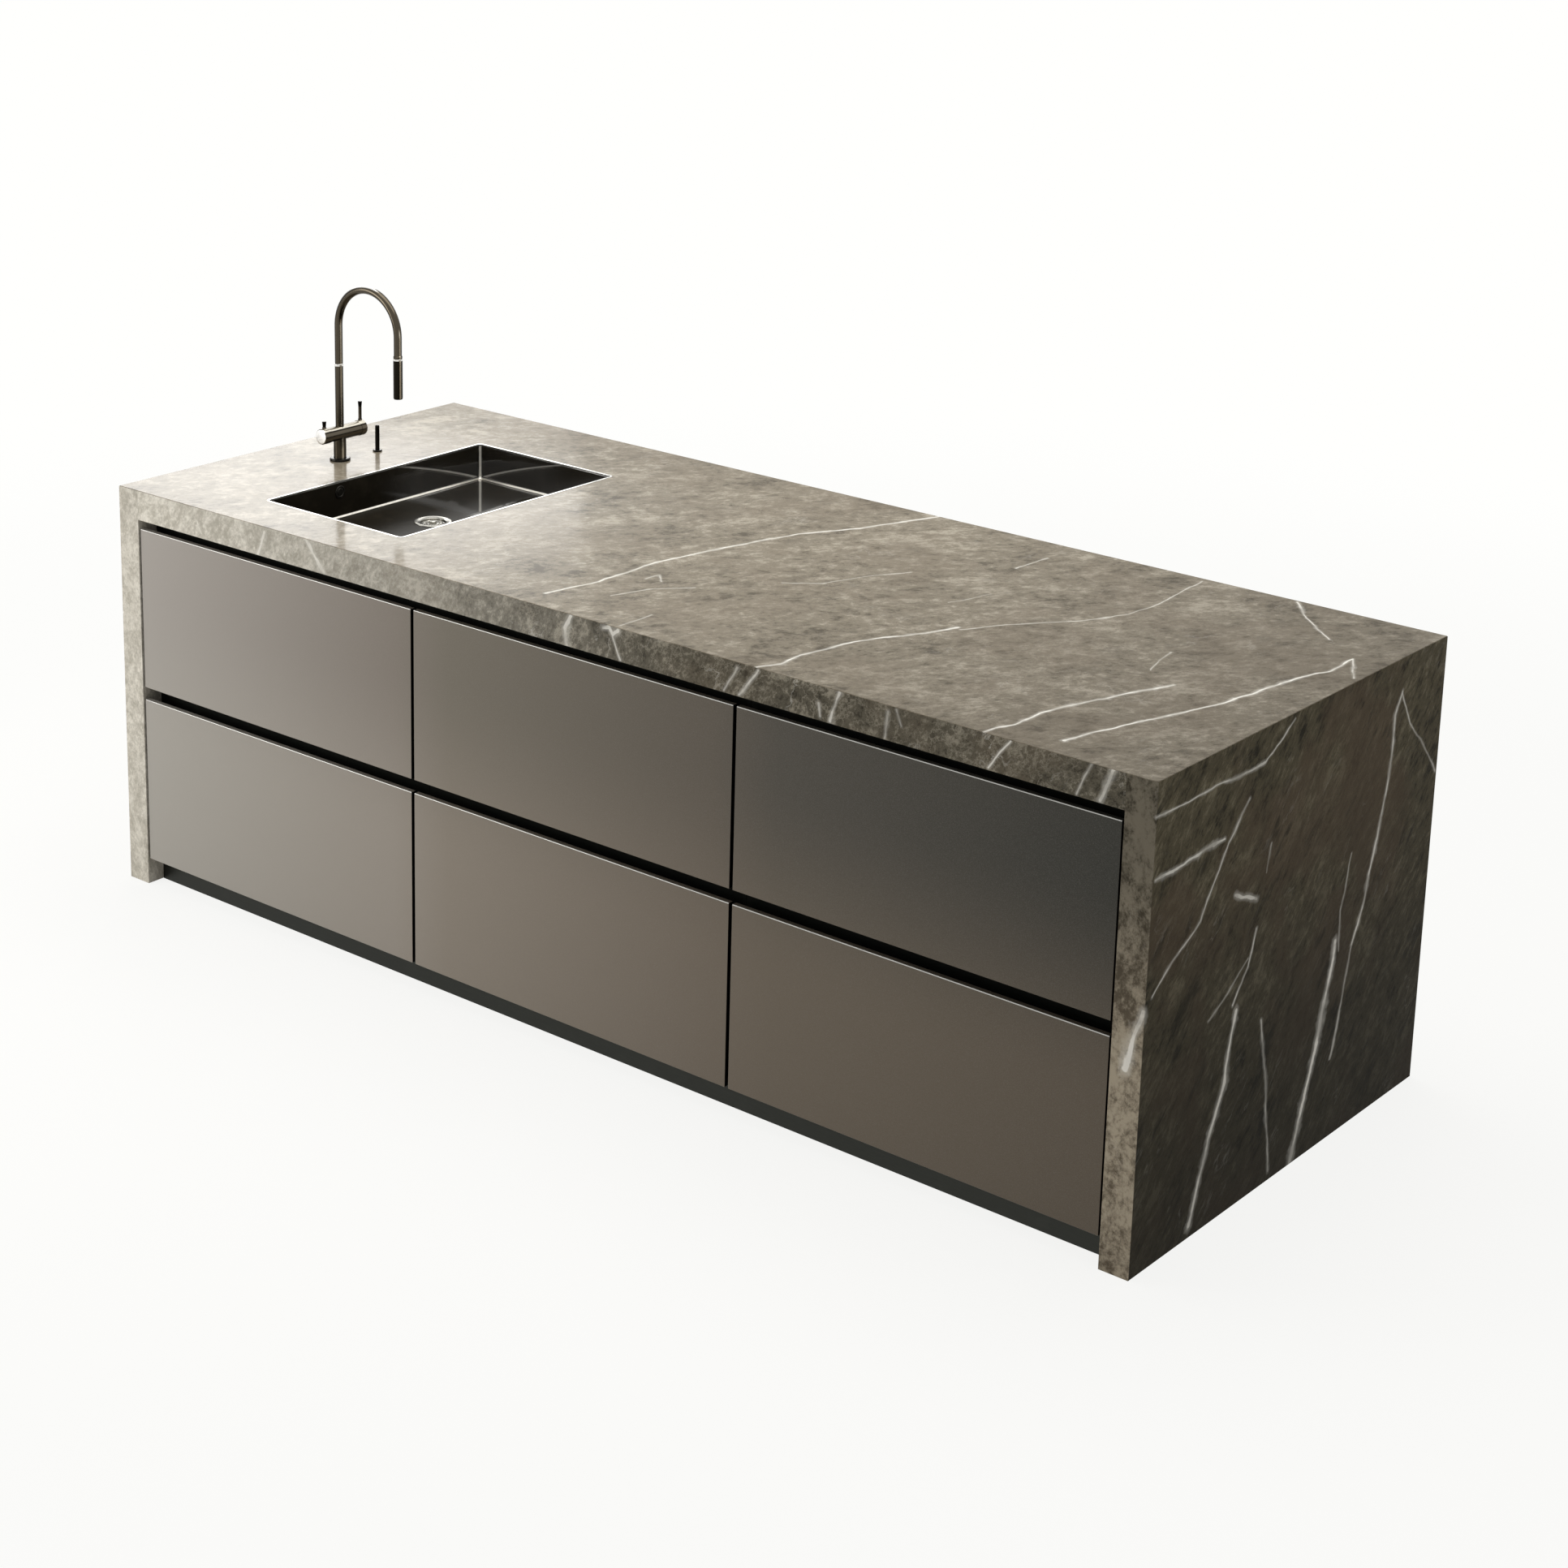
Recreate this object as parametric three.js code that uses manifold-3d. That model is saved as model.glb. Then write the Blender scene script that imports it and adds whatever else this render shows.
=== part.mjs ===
// Kitchen island unit: three columns of handleless drawers clad in mitred stone, with a shallow
// flush sink and a two-handle swan-neck mixer that has a pull-down spray head.
// Millimetres, +Z up. X runs along the length and the drawers face -Y. The origin is on the
// floor, under the middle of the island.

import * as THREE from 'three';
import { mergeVertices } from 'three/addons/utils/BufferGeometryUtils.js';
import Module from 'manifold-3d';

// ---------- Driving dimensions ----------

// Overall
const LENGTH = 2600; // over the stone end panels
const DEPTH = 1030; // over the front and rear aprons
const HEIGHT = 905; // floor to the top of the worktop
const TOUCH = 0.3; // gap between pieces that bear on each other

// Stone
const SLAB_THICKNESS = 30;
const APRON_THICKNESS = 30;
const APRON_HEIGHT = 65; // visible height of the mitred edge, slab included
const END_THICKNESS = 60;
const ARRIS = 1.5; // small chamfer on the outer top edges

// Carcasses
const COLUMN_NAMES = ['left', 'middle', 'right'];
const BOARD = 16;
const BACK_BOARD = 8;
const RAIL_WIDTH = 70;
const END_FIT = 1; // between the outer carcasses and the end panels
const PLINTH_HEIGHT = 60;
const PLINTH_SETBACK = 40; // behind the face of the drawer fronts
const PLINTH_BOARD = 16;
const SCRIBE = 1; // between a plinth board and the carcass over it

// Drawer and cover fronts
const FRONT_THICKNESS = 22;
const FRONT_RECESS = 2; // behind the face of the stone
const FRONT_GAP = 8; // between fronts that are side by side
const BUMPER_GAP = 2; // between a closed front and the carcass
const TOP_GRIP = 20; // open height under the apron
const MIDDLE_GRIP = 28; // open height between the two rows
const LOWER_FRONT_HEIGHT = 373;
const GRIP_LAND = 12; // flat part of a front's top edge
const GRIP_BEVEL = 14; // drop of the bevel behind it
const COVER_GAP = 4; // over the rear panels

// Grip channels
const CHANNEL_DEPTH = 26;
const CHANNEL_WALL = 2;
const CHANNEL_REACH = 30; // past the edge of the front that it serves
const CHANNEL_RADIUS = 10;

// Drawers
const BOX_LENGTH = 500;
const BOX_REAR_GAP = 53.7; // behind a closed box
const BOX_WALL = 12;
const BOX_BOTTOM = 8;
const LOWER_BOX_HEADROOM = 21; // from the top of a box to the grip channel over it
const UPPER_BOX_HEADROOM = 69;
const LOWER_BOX_LIFT = 32; // from the lower edge of the front to the underside of the box
const UPPER_BOX_LIFT = 40;
const TRAP_BAY_WIDTH = 200; // cut into the upper left box, open to the rear
const TRAP_BAY_MARGIN = 30; // in front of the trap

// Runners
const RUNNER_SETBACK = 10; // a runner is shorter than its box by this
const RUNNER_HEIGHT = 46;
const RUNNER_WIDTH = 11;
const RUNNER_WALL = 1.5;
const RUNNER_LIP = 8;
const RUNNER_PLAY = 0.4;
const RUNNER_LIFT = 55; // axis over the underside of the box
const RUNNER_SIDE_FIT = 1.7; // from a runner to the side of the box

// Sink
const SINK_FROM_LEFT = 518; // outer face of the left end panel to the middle of the bowl
const SINK_FROM_FRONT = 465;
const SINK_WIDTH = 400; // along X, inside the rim
const SINK_LENGTH = 650; // along Y, inside the rim
const SINK_DEPTH = 82;
const SINK_CORNER = 8;
const SINK_WALL = 3;
const SINK_FLOOR = 4;
const SINK_FLANGE = 25;
const SINK_FLANGE_THICKNESS = 4;
const RIM_WIDTH = 5;
const RIM_HEIGHT = 4.2;
const RIM_PROUD = 0.5;
const SINK_FIT = 5; // free space round the bowl in the carcass
const OVERFLOW_FROM_FRONT = 350;
const OVERFLOW_DROP = 24;
const OVERFLOW_RADIUS = 14;
const OVERFLOW_HOLE = 9;
const OVERFLOW_THICKNESS = 2;

// Drain, trap and waste pipe
const DRAIN_OFFSET = 30; // from the middle of the bowl towards the tap
const DRAIN_FLANGE = 12;
const DRAIN_FLANGE_THICKNESS = 2;
const DRAIN_RADIUS = 30;
const DRAIN_WALL = 3;
const DRAIN_DEPTH = 48;
const DRAIN_SEAT_DEPTH = 7;
const DRAIN_SEAT_WIDTH = 5;
const OUTLET_RADIUS = 19;
const OUTLET_LENGTH = 30;
const PLUG_THICKNESS = 4;
const PLUG_PLAY = 0.6;
const PLUG_STEM_RADIUS = 4;
const PLUG_STEM_LENGTH = 30;
const PLUG_BUTTON_RADIUS = 8;
const PLUG_BUTTON_HEIGHT = 5;
const TRAP_RADIUS = 34;
const TRAP_HEIGHT = 105;
const TRAP_WALL = 3;
const TRAP_NUT_RADIUS = 26;
const TRAP_NUT_HEIGHT = 18;
const TRAP_OUTLET_DROP = 38; // outlet axis under the top of the bottle
const PIPE_RADIUS = 20;
const PIPE_WALL = 2;
const PIPE_BEND = 60;
const PIPE_RUN = 170; // from the rear of the carcass to the drop
const PIPE_TO_FLOOR = 5;

// Tap
const TAP_FROM_LEFT = 188;
const TAP_FROM_FRONT = 475;
const TAP_RING_RADIUS = 23;
const TAP_RING_HEIGHT = 6;
const TAP_POST_RADIUS = 14;
const TAP_SHANK_RADIUS = 13.5;
const TAP_SHANK_LENGTH = 85;
const TAP_HOLE_FIT = 4; // round the shank
const TAP_INLET_RADIUS = 5;
const TAP_INLET_LENGTH = 14;
const TAP_INLET_SPACING = 13;
const BAR_RADIUS = 16.5;
const BAR_AXIS = 63; // over the worktop
const BAR_FRONT = 36; // from the post to the front end of the fixed bar
const BAR_REAR = 54;
const CAP_RADIUS = 17.5;
const CAP_FRONT_LENGTH = 22;
const CAP_REAR_LENGTH = 17;
const CAP_ROUNDING = 3;
const SPINDLE_RADIUS = 6;
const SPINDLE_LENGTH = 10;
const LEVER_RADIUS = 3.8;
const LEVER_TIP_RADIUS = 4.8;
const LEVER_FLARE = 12; // length of the wider tip
const LEVER_FRONT_TOP = 97; // over the worktop
const LEVER_REAR_TOP = 124;
const COLUMN_RADIUS = 9.3;
const COLUMN_TOP = 215;
const COLLAR_RADIUS = 9.9;
const COLLAR_HEIGHT = 6;
const PIVOT_RADIUS = 5.5;
const PIVOT_LENGTH = 24; // above the collar
const SPOUT_RADIUS = 8.9;
const SPOUT_TANGENT = 307.5; // height where the arch starts
const SPOUT_ARCH = 92.5; // radius of the arch
const SPOUT_DROP = 45.5; // straight end of the spout, under the arch
const DOCK_RADIUS = 9.9;
const DOCK_THICKNESS = 6;
const HEAD_RADIUS = 10.4;
const HEAD_LENGTH = 90;
const NOZZLE_RADIUS = 9.6;
const NOZZLE_LENGTH = 3;
const HOSE_RADIUS = 5;
const HOSE_TOP_GAP = 5; // from the stowed hose to the start of the arch
const SLIDE_PLAY = 0.4;
const NUT_RADIUS = 24;
const NUT_HEIGHT = 10;
const WASHER_RADIUS = 27;
const WASHER_THICKNESS = 3;

// Waste-control knob
const KNOB_ASIDE = 6; // from the tap, along the island
const KNOB_BEHIND = 110; // from the tap, towards the rear
const KNOB_RADIUS = 5;
const KNOB_HEIGHT = 61;
const KNOB_DOME = 3;
const KNOB_BASE_RADIUS = 10.5;
const KNOB_BASE_HEIGHT = 4;
const KNOB_GUIDE_RADIUS = 6.5;
const KNOB_GUIDE_LENGTH = 52; // under the top of the worktop
const KNOB_ROD_RADIUS = 4;
const KNOB_ROD_LENGTH = 62;
const KNOB_HOLE_FIT = 1; // round the guide

// Roundness
const ROUND = 32; // sides of a turned piece
const FINE = 24; // sides of a small turned piece
const ARCH_STEPS = 40;
const PIPE_STEPS = 18;

// ---------- Places worked out from the driving dimensions ----------

const HALF_LENGTH = LENGTH / 2;
const HALF_DEPTH = DEPTH / 2;
const SLAB_UNDERSIDE = HEIGHT - SLAB_THICKNESS;
const APRON_UNDERSIDE = HEIGHT - APRON_HEIGHT;
const INNER_HALF = HALF_LENGTH - END_THICKNESS;
const MODULE = (2 * INNER_HALF - 2 * END_FIT) / COLUMN_NAMES.length;
const MODULES_HALF = (MODULE * COLUMN_NAMES.length) / 2;
const FRONT_WIDTH = MODULE - FRONT_GAP;
const CARCASS_WIDTH = MODULE - TOUCH;
const CARCASS_BOTTOM = PLINTH_HEIGHT + TOUCH;
const CARCASS_TOP = APRON_UNDERSIDE - TOUCH;

const FRONT_FACE = -HALF_DEPTH + FRONT_RECESS;
const FRONT_BACK = FRONT_FACE + FRONT_THICKNESS;
const CARCASS_FRONT = FRONT_BACK + BUMPER_GAP;
const CARCASS_REAR = FRONT_BACK + TOUCH + BOX_LENGTH + BOX_REAR_GAP + BACK_BOARD;
const COVER_INNER = HALF_DEPTH - FRONT_RECESS - FRONT_THICKNESS;
const PLINTH_FACE = FRONT_FACE + PLINTH_SETBACK;
const CHANNEL_BACK = CARCASS_FRONT + CHANNEL_DEPTH;

const UPPER_FRONT_TOP = APRON_UNDERSIDE - TOP_GRIP;
const LOWER_FRONT_TOP = PLINTH_HEIGHT + LOWER_FRONT_HEIGHT;
const UPPER_FRONT_BOTTOM = LOWER_FRONT_TOP + MIDDLE_GRIP;
const TOP_CHANNEL_BOTTOM = UPPER_FRONT_TOP - CHANNEL_REACH;
const MIDDLE_CHANNEL_BOTTOM = LOWER_FRONT_TOP - CHANNEL_REACH;
const MIDDLE_CHANNEL_TOP = UPPER_FRONT_BOTTOM + CHANNEL_REACH;

const ROWS = [
  {
    name: 'upper',
    bottom: UPPER_FRONT_BOTTOM,
    height: UPPER_FRONT_TOP - UPPER_FRONT_BOTTOM,
    boxLift: UPPER_BOX_LIFT,
    boxHeight: TOP_CHANNEL_BOTTOM - UPPER_BOX_HEADROOM - UPPER_FRONT_BOTTOM - UPPER_BOX_LIFT,
  },
  {
    name: 'lower',
    bottom: PLINTH_HEIGHT,
    height: LOWER_FRONT_HEIGHT,
    boxLift: LOWER_BOX_LIFT,
    boxHeight: MIDDLE_CHANNEL_BOTTOM - LOWER_BOX_HEADROOM - PLINTH_HEIGHT - LOWER_BOX_LIFT,
  },
];

const SINK_PLACE = new THREE.Vector3(-HALF_LENGTH + SINK_FROM_LEFT, -HALF_DEPTH + SINK_FROM_FRONT, HEIGHT);
const TAP_PLACE = new THREE.Vector3(-HALF_LENGTH + TAP_FROM_LEFT, -HALF_DEPTH + TAP_FROM_FRONT, HEIGHT);
const KNOB_PLACE = new THREE.Vector3(TAP_PLACE.x + KNOB_ASIDE, TAP_PLACE.y + KNOB_BEHIND, HEIGHT);
const DRAIN_X = SINK_PLACE.x - DRAIN_OFFSET;
const BOWL_FLOOR = HEIGHT - SINK_DEPTH;
const DRAIN_OUTLET = BOWL_FLOOR - DRAIN_DEPTH - OUTLET_LENGTH;
const TRAP_TOP = DRAIN_OUTLET + OUTLET_LENGTH / 2;
const PIPE_AXIS = TRAP_TOP - TRAP_OUTLET_DROP;
const DOCK_HEIGHT = SPOUT_TANGENT - SPOUT_DROP;
const HOSE_STOWED = SPOUT_DROP - HOSE_TOP_GAP;
const RUNNER_LENGTH = BOX_LENGTH - RUNNER_SETBACK;
const BOX_SIDE_GAP = TOUCH + RUNNER_WIDTH + RUNNER_SIDE_FIT;
const COLUMN_XS = COLUMN_NAMES.map((name, i) => -MODULES_HALF + MODULE * (i + 0.5));

// ---------- Materials ----------

const finish = (color, roughness, metalness = 0) =>
  new THREE.MeshStandardMaterial({ color, roughness, metalness });

const FINISHES = {
  stone: () => finish(0x6f665c, 0.3),
  lacquer: () => finish(0x6f6a63, 0.38, 0.2),
  darkMetal: () => finish(0x2b2d29, 0.45, 0.6),
  board: () => finish(0x4a4743, 0.65),
  runnerSteel: () => finish(0x9a9c9e, 0.35, 1),
  sinkBlack: () => finish(0x17150f, 0.2),
  brightSteel: () => finish(0xc9c9c6, 0.18, 1),
  tapMetal: () => finish(0x5a534a, 0.28, 1),
  plastic: () => finish(0xd9d9d4, 0.5),
  hose: () => finish(0x3a3a3a, 0.5),
};

// ---------- Geometry helpers ----------

const wasm = await Module();
wasm.setup();

/** Makes a solid that can be joined and cut from a closed geometry. */
function solidOf(geometry) {
  const bare = geometry.clone();
  bare.deleteAttribute('normal');
  bare.deleteAttribute('uv');
  const merged = mergeVertices(bare, 1e-4);
  const source = merged.index.array;
  const triangles = [];
  for (let i = 0; i < source.length; i += 3) {
    const [a, b, c] = [source[i], source[i + 1], source[i + 2]];
    if (a !== b && b !== c && c !== a) triangles.push(a, b, c);
  }
  return new wasm.Manifold(
    new wasm.Mesh({
      numProp: 3,
      vertProperties: new Float32Array(merged.attributes.position.array),
      triVerts: new Uint32Array(triangles),
    }),
  );
}

/** Turns a solid back into a geometry with flat faces. */
function geometryOf(solid) {
  const mesh = solid.getMesh();
  const geometry = new THREE.BufferGeometry();
  geometry.setAttribute('position', new THREE.BufferAttribute(new Float32Array(mesh.vertProperties), 3));
  geometry.setIndex(new THREE.BufferAttribute(new Uint32Array(mesh.triVerts), 1));
  geometry.computeVertexNormals();
  return geometry;
}

/** A box between two limits on each axis. */
function block([x0, x1], [y0, y1], [z0, z1]) {
  const geometry = new THREE.BoxGeometry(x1 - x0, y1 - y0, z1 - z0);
  geometry.translate((x0 + x1) / 2, (y0 + y1) / 2, (z0 + z1) / 2);
  return solidOf(geometry);
}

const shapeOf = (points) => new THREE.Shape(points.map(([a, b]) => new THREE.Vector2(a, b)));

function extrude(shape, depth) {
  return new THREE.ExtrudeGeometry(shape, { depth, bevelEnabled: false, curveSegments: 6 });
}

/** Extrudes an XY outline between two heights. */
function alongZ(shape, z0, z1) {
  return solidOf(extrude(shape, z1 - z0).translate(0, 0, z0));
}

/** Extrudes a YZ outline along X. */
function alongX(shape, x0, x1) {
  const turn = new THREE.Matrix4().makeBasis(
    new THREE.Vector3(0, 1, 0),
    new THREE.Vector3(0, 0, 1),
    new THREE.Vector3(1, 0, 0),
  );
  return solidOf(extrude(shape, x1 - x0).applyMatrix4(turn).translate(x0, 0, 0));
}

/** Extrudes an XZ outline along Y. */
function alongY(shape, y0, y1) {
  const turn = new THREE.Matrix4().makeBasis(
    new THREE.Vector3(1, 0, 0),
    new THREE.Vector3(0, 0, 1),
    new THREE.Vector3(0, -1, 0),
  );
  return solidOf(extrude(shape, y1 - y0).applyMatrix4(turn).translate(0, y1, 0));
}

/** A rectangle with round corners, centred on the origin. */
function roundedRectangle(width, length, radius) {
  const [a, b] = [width / 2, length / 2];
  const shape = new THREE.Shape();
  shape.moveTo(-a + radius, -b);
  shape.lineTo(a - radius, -b);
  shape.absarc(a - radius, -b + radius, radius, -Math.PI / 2, 0);
  shape.lineTo(a, b - radius);
  shape.absarc(a - radius, b - radius, radius, 0, Math.PI / 2);
  shape.lineTo(-a + radius, b);
  shape.absarc(-a + radius, b - radius, radius, Math.PI / 2, Math.PI);
  shape.lineTo(-a, -b + radius);
  shape.absarc(-a + radius, -b + radius, radius, Math.PI, 1.5 * Math.PI);
  return shape;
}

/** Turns a profile of [radius, height] points round the Z axis. */
function turned(profile, sides = ROUND) {
  const points = profile.map(([r, z]) => new THREE.Vector2(r, z));
  return solidOf(new THREE.LatheGeometry(points, sides).rotateX(Math.PI / 2));
}

/** A round bar along Z between two heights. */
function rod(radius, z0, z1, sides = ROUND) {
  return turned([[0, z0], [radius, z0], [radius, z1], [0, z1]], sides);
}

/** Turns a solid's +Z towards +Y (side 1) or -Y (side -1). */
const layAlongY = (solid, side = 1) => solid.rotate([-90 * side, 0, 0]);

/** Sweeps a round section, with a bore where one is given, along a path. */
function swept(path, radius, steps, sides, bore = 0) {
  const section = new THREE.Shape().absarc(0, 0, radius, 0, 2 * Math.PI);
  if (bore > 0) section.holes.push(new THREE.Path().absarc(0, 0, bore, 0, 2 * Math.PI));
  const options = { steps, bevelEnabled: false, extrudePath: path, curveSegments: sides };
  return solidOf(new THREE.ExtrudeGeometry(section, options));
}

/** A quarter or half circle in the XZ or YZ plane, as a curve that a path can hold. */
class Arc extends THREE.Curve {
  constructor(centre, from, to, sweep) {
    super();
    Object.assign(this, { centre, from, to, sweep });
  }

  getPoint(t, target = new THREE.Vector3()) {
    const angle = this.sweep * t;
    return target
      .copy(this.centre)
      .addScaledVector(this.from, Math.cos(angle))
      .addScaledVector(this.to, Math.sin(angle));
  }
}

/** Names a solid and gives it its material. */
function piece(name, solid, material) {
  const mesh = new THREE.Mesh(geometryOf(solid), material);
  mesh.name = name;
  return mesh;
}

function groupAt(place, ...children) {
  const group = new THREE.Group();
  group.position.copy(place);
  group.add(...children);
  return group;
}

// ---------- Stone ----------

/** The slab's full mitred body, grown on every side by an allowance. */
function mitredSlab(grow = 0) {
  const bottom = SLAB_UNDERSIDE - grow;
  const inset = HEIGHT - bottom - 2 * grow;
  const across = (half) => [
    [-half + inset, bottom], [half - inset, bottom], [half, HEIGHT], [half, HEIGHT + 1],
    [-half, HEIGHT + 1], [-half, HEIGHT],
  ];
  const lengthwise = alongY(shapeOf(across(HALF_LENGTH + grow)), -DEPTH, DEPTH);
  const crosswise = alongX(shapeOf(across(HALF_DEPTH + grow)), -LENGTH, LENGTH);
  return lengthwise.intersect(crosswise);
}

/** The outside of the stone as one block with its top arrises taken off. */
function stoneEnvelope() {
  const outline = (half) => [
    [-half, -1], [half, -1], [half, HEIGHT - ARRIS], [half - ARRIS, HEIGHT],
    [-half + ARRIS, HEIGHT], [-half, HEIGHT - ARRIS],
  ];
  const lengthwise = alongY(shapeOf(outline(HALF_LENGTH)), -HALF_DEPTH, HALF_DEPTH);
  const crosswise = alongX(shapeOf(outline(HALF_DEPTH)), -HALF_LENGTH, HALF_LENGTH);
  return lengthwise.intersect(crosswise);
}

function worktop() {
  const cut = roundedRectangle(
    SINK_WIDTH + 2 * (RIM_WIDTH + TOUCH),
    SINK_LENGTH + 2 * (RIM_WIDTH + TOUCH),
    SINK_CORNER + RIM_WIDTH + TOUCH,
  );
  const below = SLAB_UNDERSIDE - 1;
  const above = HEIGHT + 1;
  const sinkHole = alongZ(cut, below, above).translate([SINK_PLACE.x, SINK_PLACE.y, 0]);
  const tapHole = rod(TAP_SHANK_RADIUS + TAP_HOLE_FIT, below, above).translate([TAP_PLACE.x, TAP_PLACE.y, 0]);
  const knobHole = rod(KNOB_GUIDE_RADIUS + KNOB_HOLE_FIT, below, above, FINE).translate([KNOB_PLACE.x, KNOB_PLACE.y, 0]);
  const slab = stoneEnvelope().intersect(mitredSlab());
  return piece('worktop', slab.subtract(sinkHole).subtract(tapHole).subtract(knobHole), FINISHES.stone());
}

function apron(name, side) {
  const half = INNER_HALF - TOUCH;
  const faces = [HALF_DEPTH - APRON_THICKNESS, HALF_DEPTH].map((y) => y * side);
  const strip = block([-half, half], faces.sort((a, b) => a - b), [APRON_UNDERSIDE, HEIGHT]);
  const body = strip.intersect(stoneEnvelope()).subtract(mitredSlab(TOUCH));
  return piece(name, body, FINISHES.stone());
}

function endPanel(name, side) {
  const faces = [HALF_LENGTH - END_THICKNESS, HALF_LENGTH].map((x) => x * side);
  const panel = block(faces.sort((a, b) => a - b), [-HALF_DEPTH, HALF_DEPTH], [0, HEIGHT]);
  const body = panel.intersect(stoneEnvelope()).subtract(mitredSlab(TOUCH));
  return piece(name, body, FINISHES.stone());
}

// ---------- Cabinets ----------

/** The space that a grip channel takes out of the carcass sides. */
function channelNotch(bottom, top) {
  const reach = [CARCASS_FRONT - 1, CHANNEL_BACK + TOUCH];
  return block([-LENGTH, LENGTH], reach, [bottom - TOUCH, top + TOUCH]);
}

/** The space that the bowl, its flange, the pipe, the tap and the knob need under the slab. */
function sinkClearance() {
  const around = (margin, z0) => block(
    [SINK_PLACE.x - SINK_WIDTH / 2 - margin, SINK_PLACE.x + SINK_WIDTH / 2 + margin],
    [SINK_PLACE.y - SINK_LENGTH / 2 - margin, SINK_PLACE.y + SINK_LENGTH / 2 + margin],
    [z0, HEIGHT],
  );
  const flangeUnderside = SLAB_UNDERSIDE - TOUCH - SINK_FLANGE_THICKNESS;
  const pipe = layAlongY(rod(PIPE_RADIUS + SINK_FIT, 0, DEPTH));
  const nutBottom = SLAB_UNDERSIDE - WASHER_THICKNESS - NUT_HEIGHT;
  const nut = rod(WASHER_RADIUS + SINK_FIT, nutBottom - SINK_FIT, HEIGHT);
  const shankEnd = HEIGHT - TAP_SHANK_LENGTH - TAP_INLET_LENGTH;
  const shank = rod(TAP_SHANK_RADIUS + SINK_FIT, shankEnd - SINK_FIT, HEIGHT);
  const guide = rod(KNOB_GUIDE_RADIUS + SINK_FIT, HEIGHT - KNOB_ROD_LENGTH - SINK_FIT, HEIGHT);
  return around(SINK_WALL + SINK_FIT, BOWL_FLOOR - SINK_FLOOR - SINK_FIT)
    .add(around(SINK_FLANGE + SINK_FIT, flangeUnderside - SINK_FIT))
    .add(pipe.translate([DRAIN_X, SINK_PLACE.y, PIPE_AXIS]))
    .add(nut.add(shank).translate([TAP_PLACE.x, TAP_PLACE.y, 0]))
    .add(guide.translate([KNOB_PLACE.x, KNOB_PLACE.y, 0]));
}

function carcass(index) {
  const middle = COLUMN_XS[index];
  const outer = [middle - CARCASS_WIDTH / 2, middle + CARCASS_WIDTH / 2];
  const inner = [outer[0] + BOARD, outer[1] - BOARD];
  const back = CARCASS_REAR - BACK_BOARD;
  const railTop = [CARCASS_TOP - BOARD, CARCASS_TOP];
  const frontRail = block(outer, [CHANNEL_BACK + TOUCH, CHANNEL_BACK + RAIL_WIDTH], railTop);
  const rearRail = block(outer, [back - RAIL_WIDTH, CARCASS_REAR], railTop);
  let body = block(outer, [CARCASS_FRONT, CARCASS_REAR], [CARCASS_BOTTOM, CARCASS_TOP])
    .subtract(block(inner, [CARCASS_FRONT - 1, back], [CARCASS_BOTTOM + BOARD, HEIGHT]))
    .add(frontRail)
    .add(rearRail)
    .subtract(channelNotch(TOP_CHANNEL_BOTTOM, HEIGHT))
    .subtract(channelNotch(MIDDLE_CHANNEL_BOTTOM, MIDDLE_CHANNEL_TOP));
  if (index === 0) body = body.subtract(sinkClearance());
  return piece(`carcass_${COLUMN_NAMES[index]}`, body, FINISHES.board());
}

/** A grip channel's section: two shelves and a back wall joined by rounds. */
function channelSection(bottom, top) {
  const wall = (inset) => {
    const [low, high] = [bottom + inset, top - inset];
    const back = CHANNEL_BACK - inset;
    const r = CHANNEL_RADIUS - inset;
    return { low, high, back, r };
  };
  const outer = wall(0);
  const inner = wall(CHANNEL_WALL);
  const shape = new THREE.Shape();
  shape.moveTo(CARCASS_FRONT, outer.low);
  shape.lineTo(outer.back - outer.r, outer.low);
  shape.absarc(outer.back - outer.r, outer.low + outer.r, outer.r, -Math.PI / 2, 0);
  shape.lineTo(outer.back, outer.high - outer.r);
  shape.absarc(outer.back - outer.r, outer.high - outer.r, outer.r, 0, Math.PI / 2);
  shape.lineTo(CARCASS_FRONT, outer.high);
  shape.lineTo(CARCASS_FRONT, inner.high);
  shape.lineTo(inner.back - inner.r, inner.high);
  shape.absarc(inner.back - inner.r, inner.high - inner.r, inner.r, Math.PI / 2, 0, true);
  shape.lineTo(inner.back, inner.low + inner.r);
  shape.absarc(inner.back - inner.r, inner.low + inner.r, inner.r, 0, -Math.PI / 2, true);
  shape.lineTo(CARCASS_FRONT, inner.low);
  return shape;
}

function gripChannel(name, bottom, top) {
  const body = alongX(channelSection(bottom, top), -MODULES_HALF, MODULES_HALF);
  return piece(name, body, FINISHES.darkMetal());
}

/** The clear widths between boards that stand on the lines between the modules. */
function bays(boardWidth, half) {
  return COLUMN_NAMES.map((name, i) => {
    const start = -MODULES_HALF + MODULE * i;
    const end = start + MODULE;
    const last = i === COLUMN_NAMES.length - 1;
    return [
      i === 0 ? -half + boardWidth : start + boardWidth / 2,
      last ? half - boardWidth : end - boardWidth / 2,
    ];
  });
}

/** A flat frame: boards along the length, crossed by boards at the lines between the modules. */
function ladder(rails, rungWidth, [z0, z1]) {
  const half = MODULES_HALF - TOUCH;
  let body = block([-half, half], [rails[0][0], rails.at(-1)[1]], [z0, z1]);
  for (const bay of bays(rungWidth, half)) {
    for (let i = 1; i < rails.length; i += 1) {
      body = body.subtract(block(bay, [rails[i - 1][1], rails[i][0]], [z0 - 1, z1 + 1]));
    }
  }
  return body;
}

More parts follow.
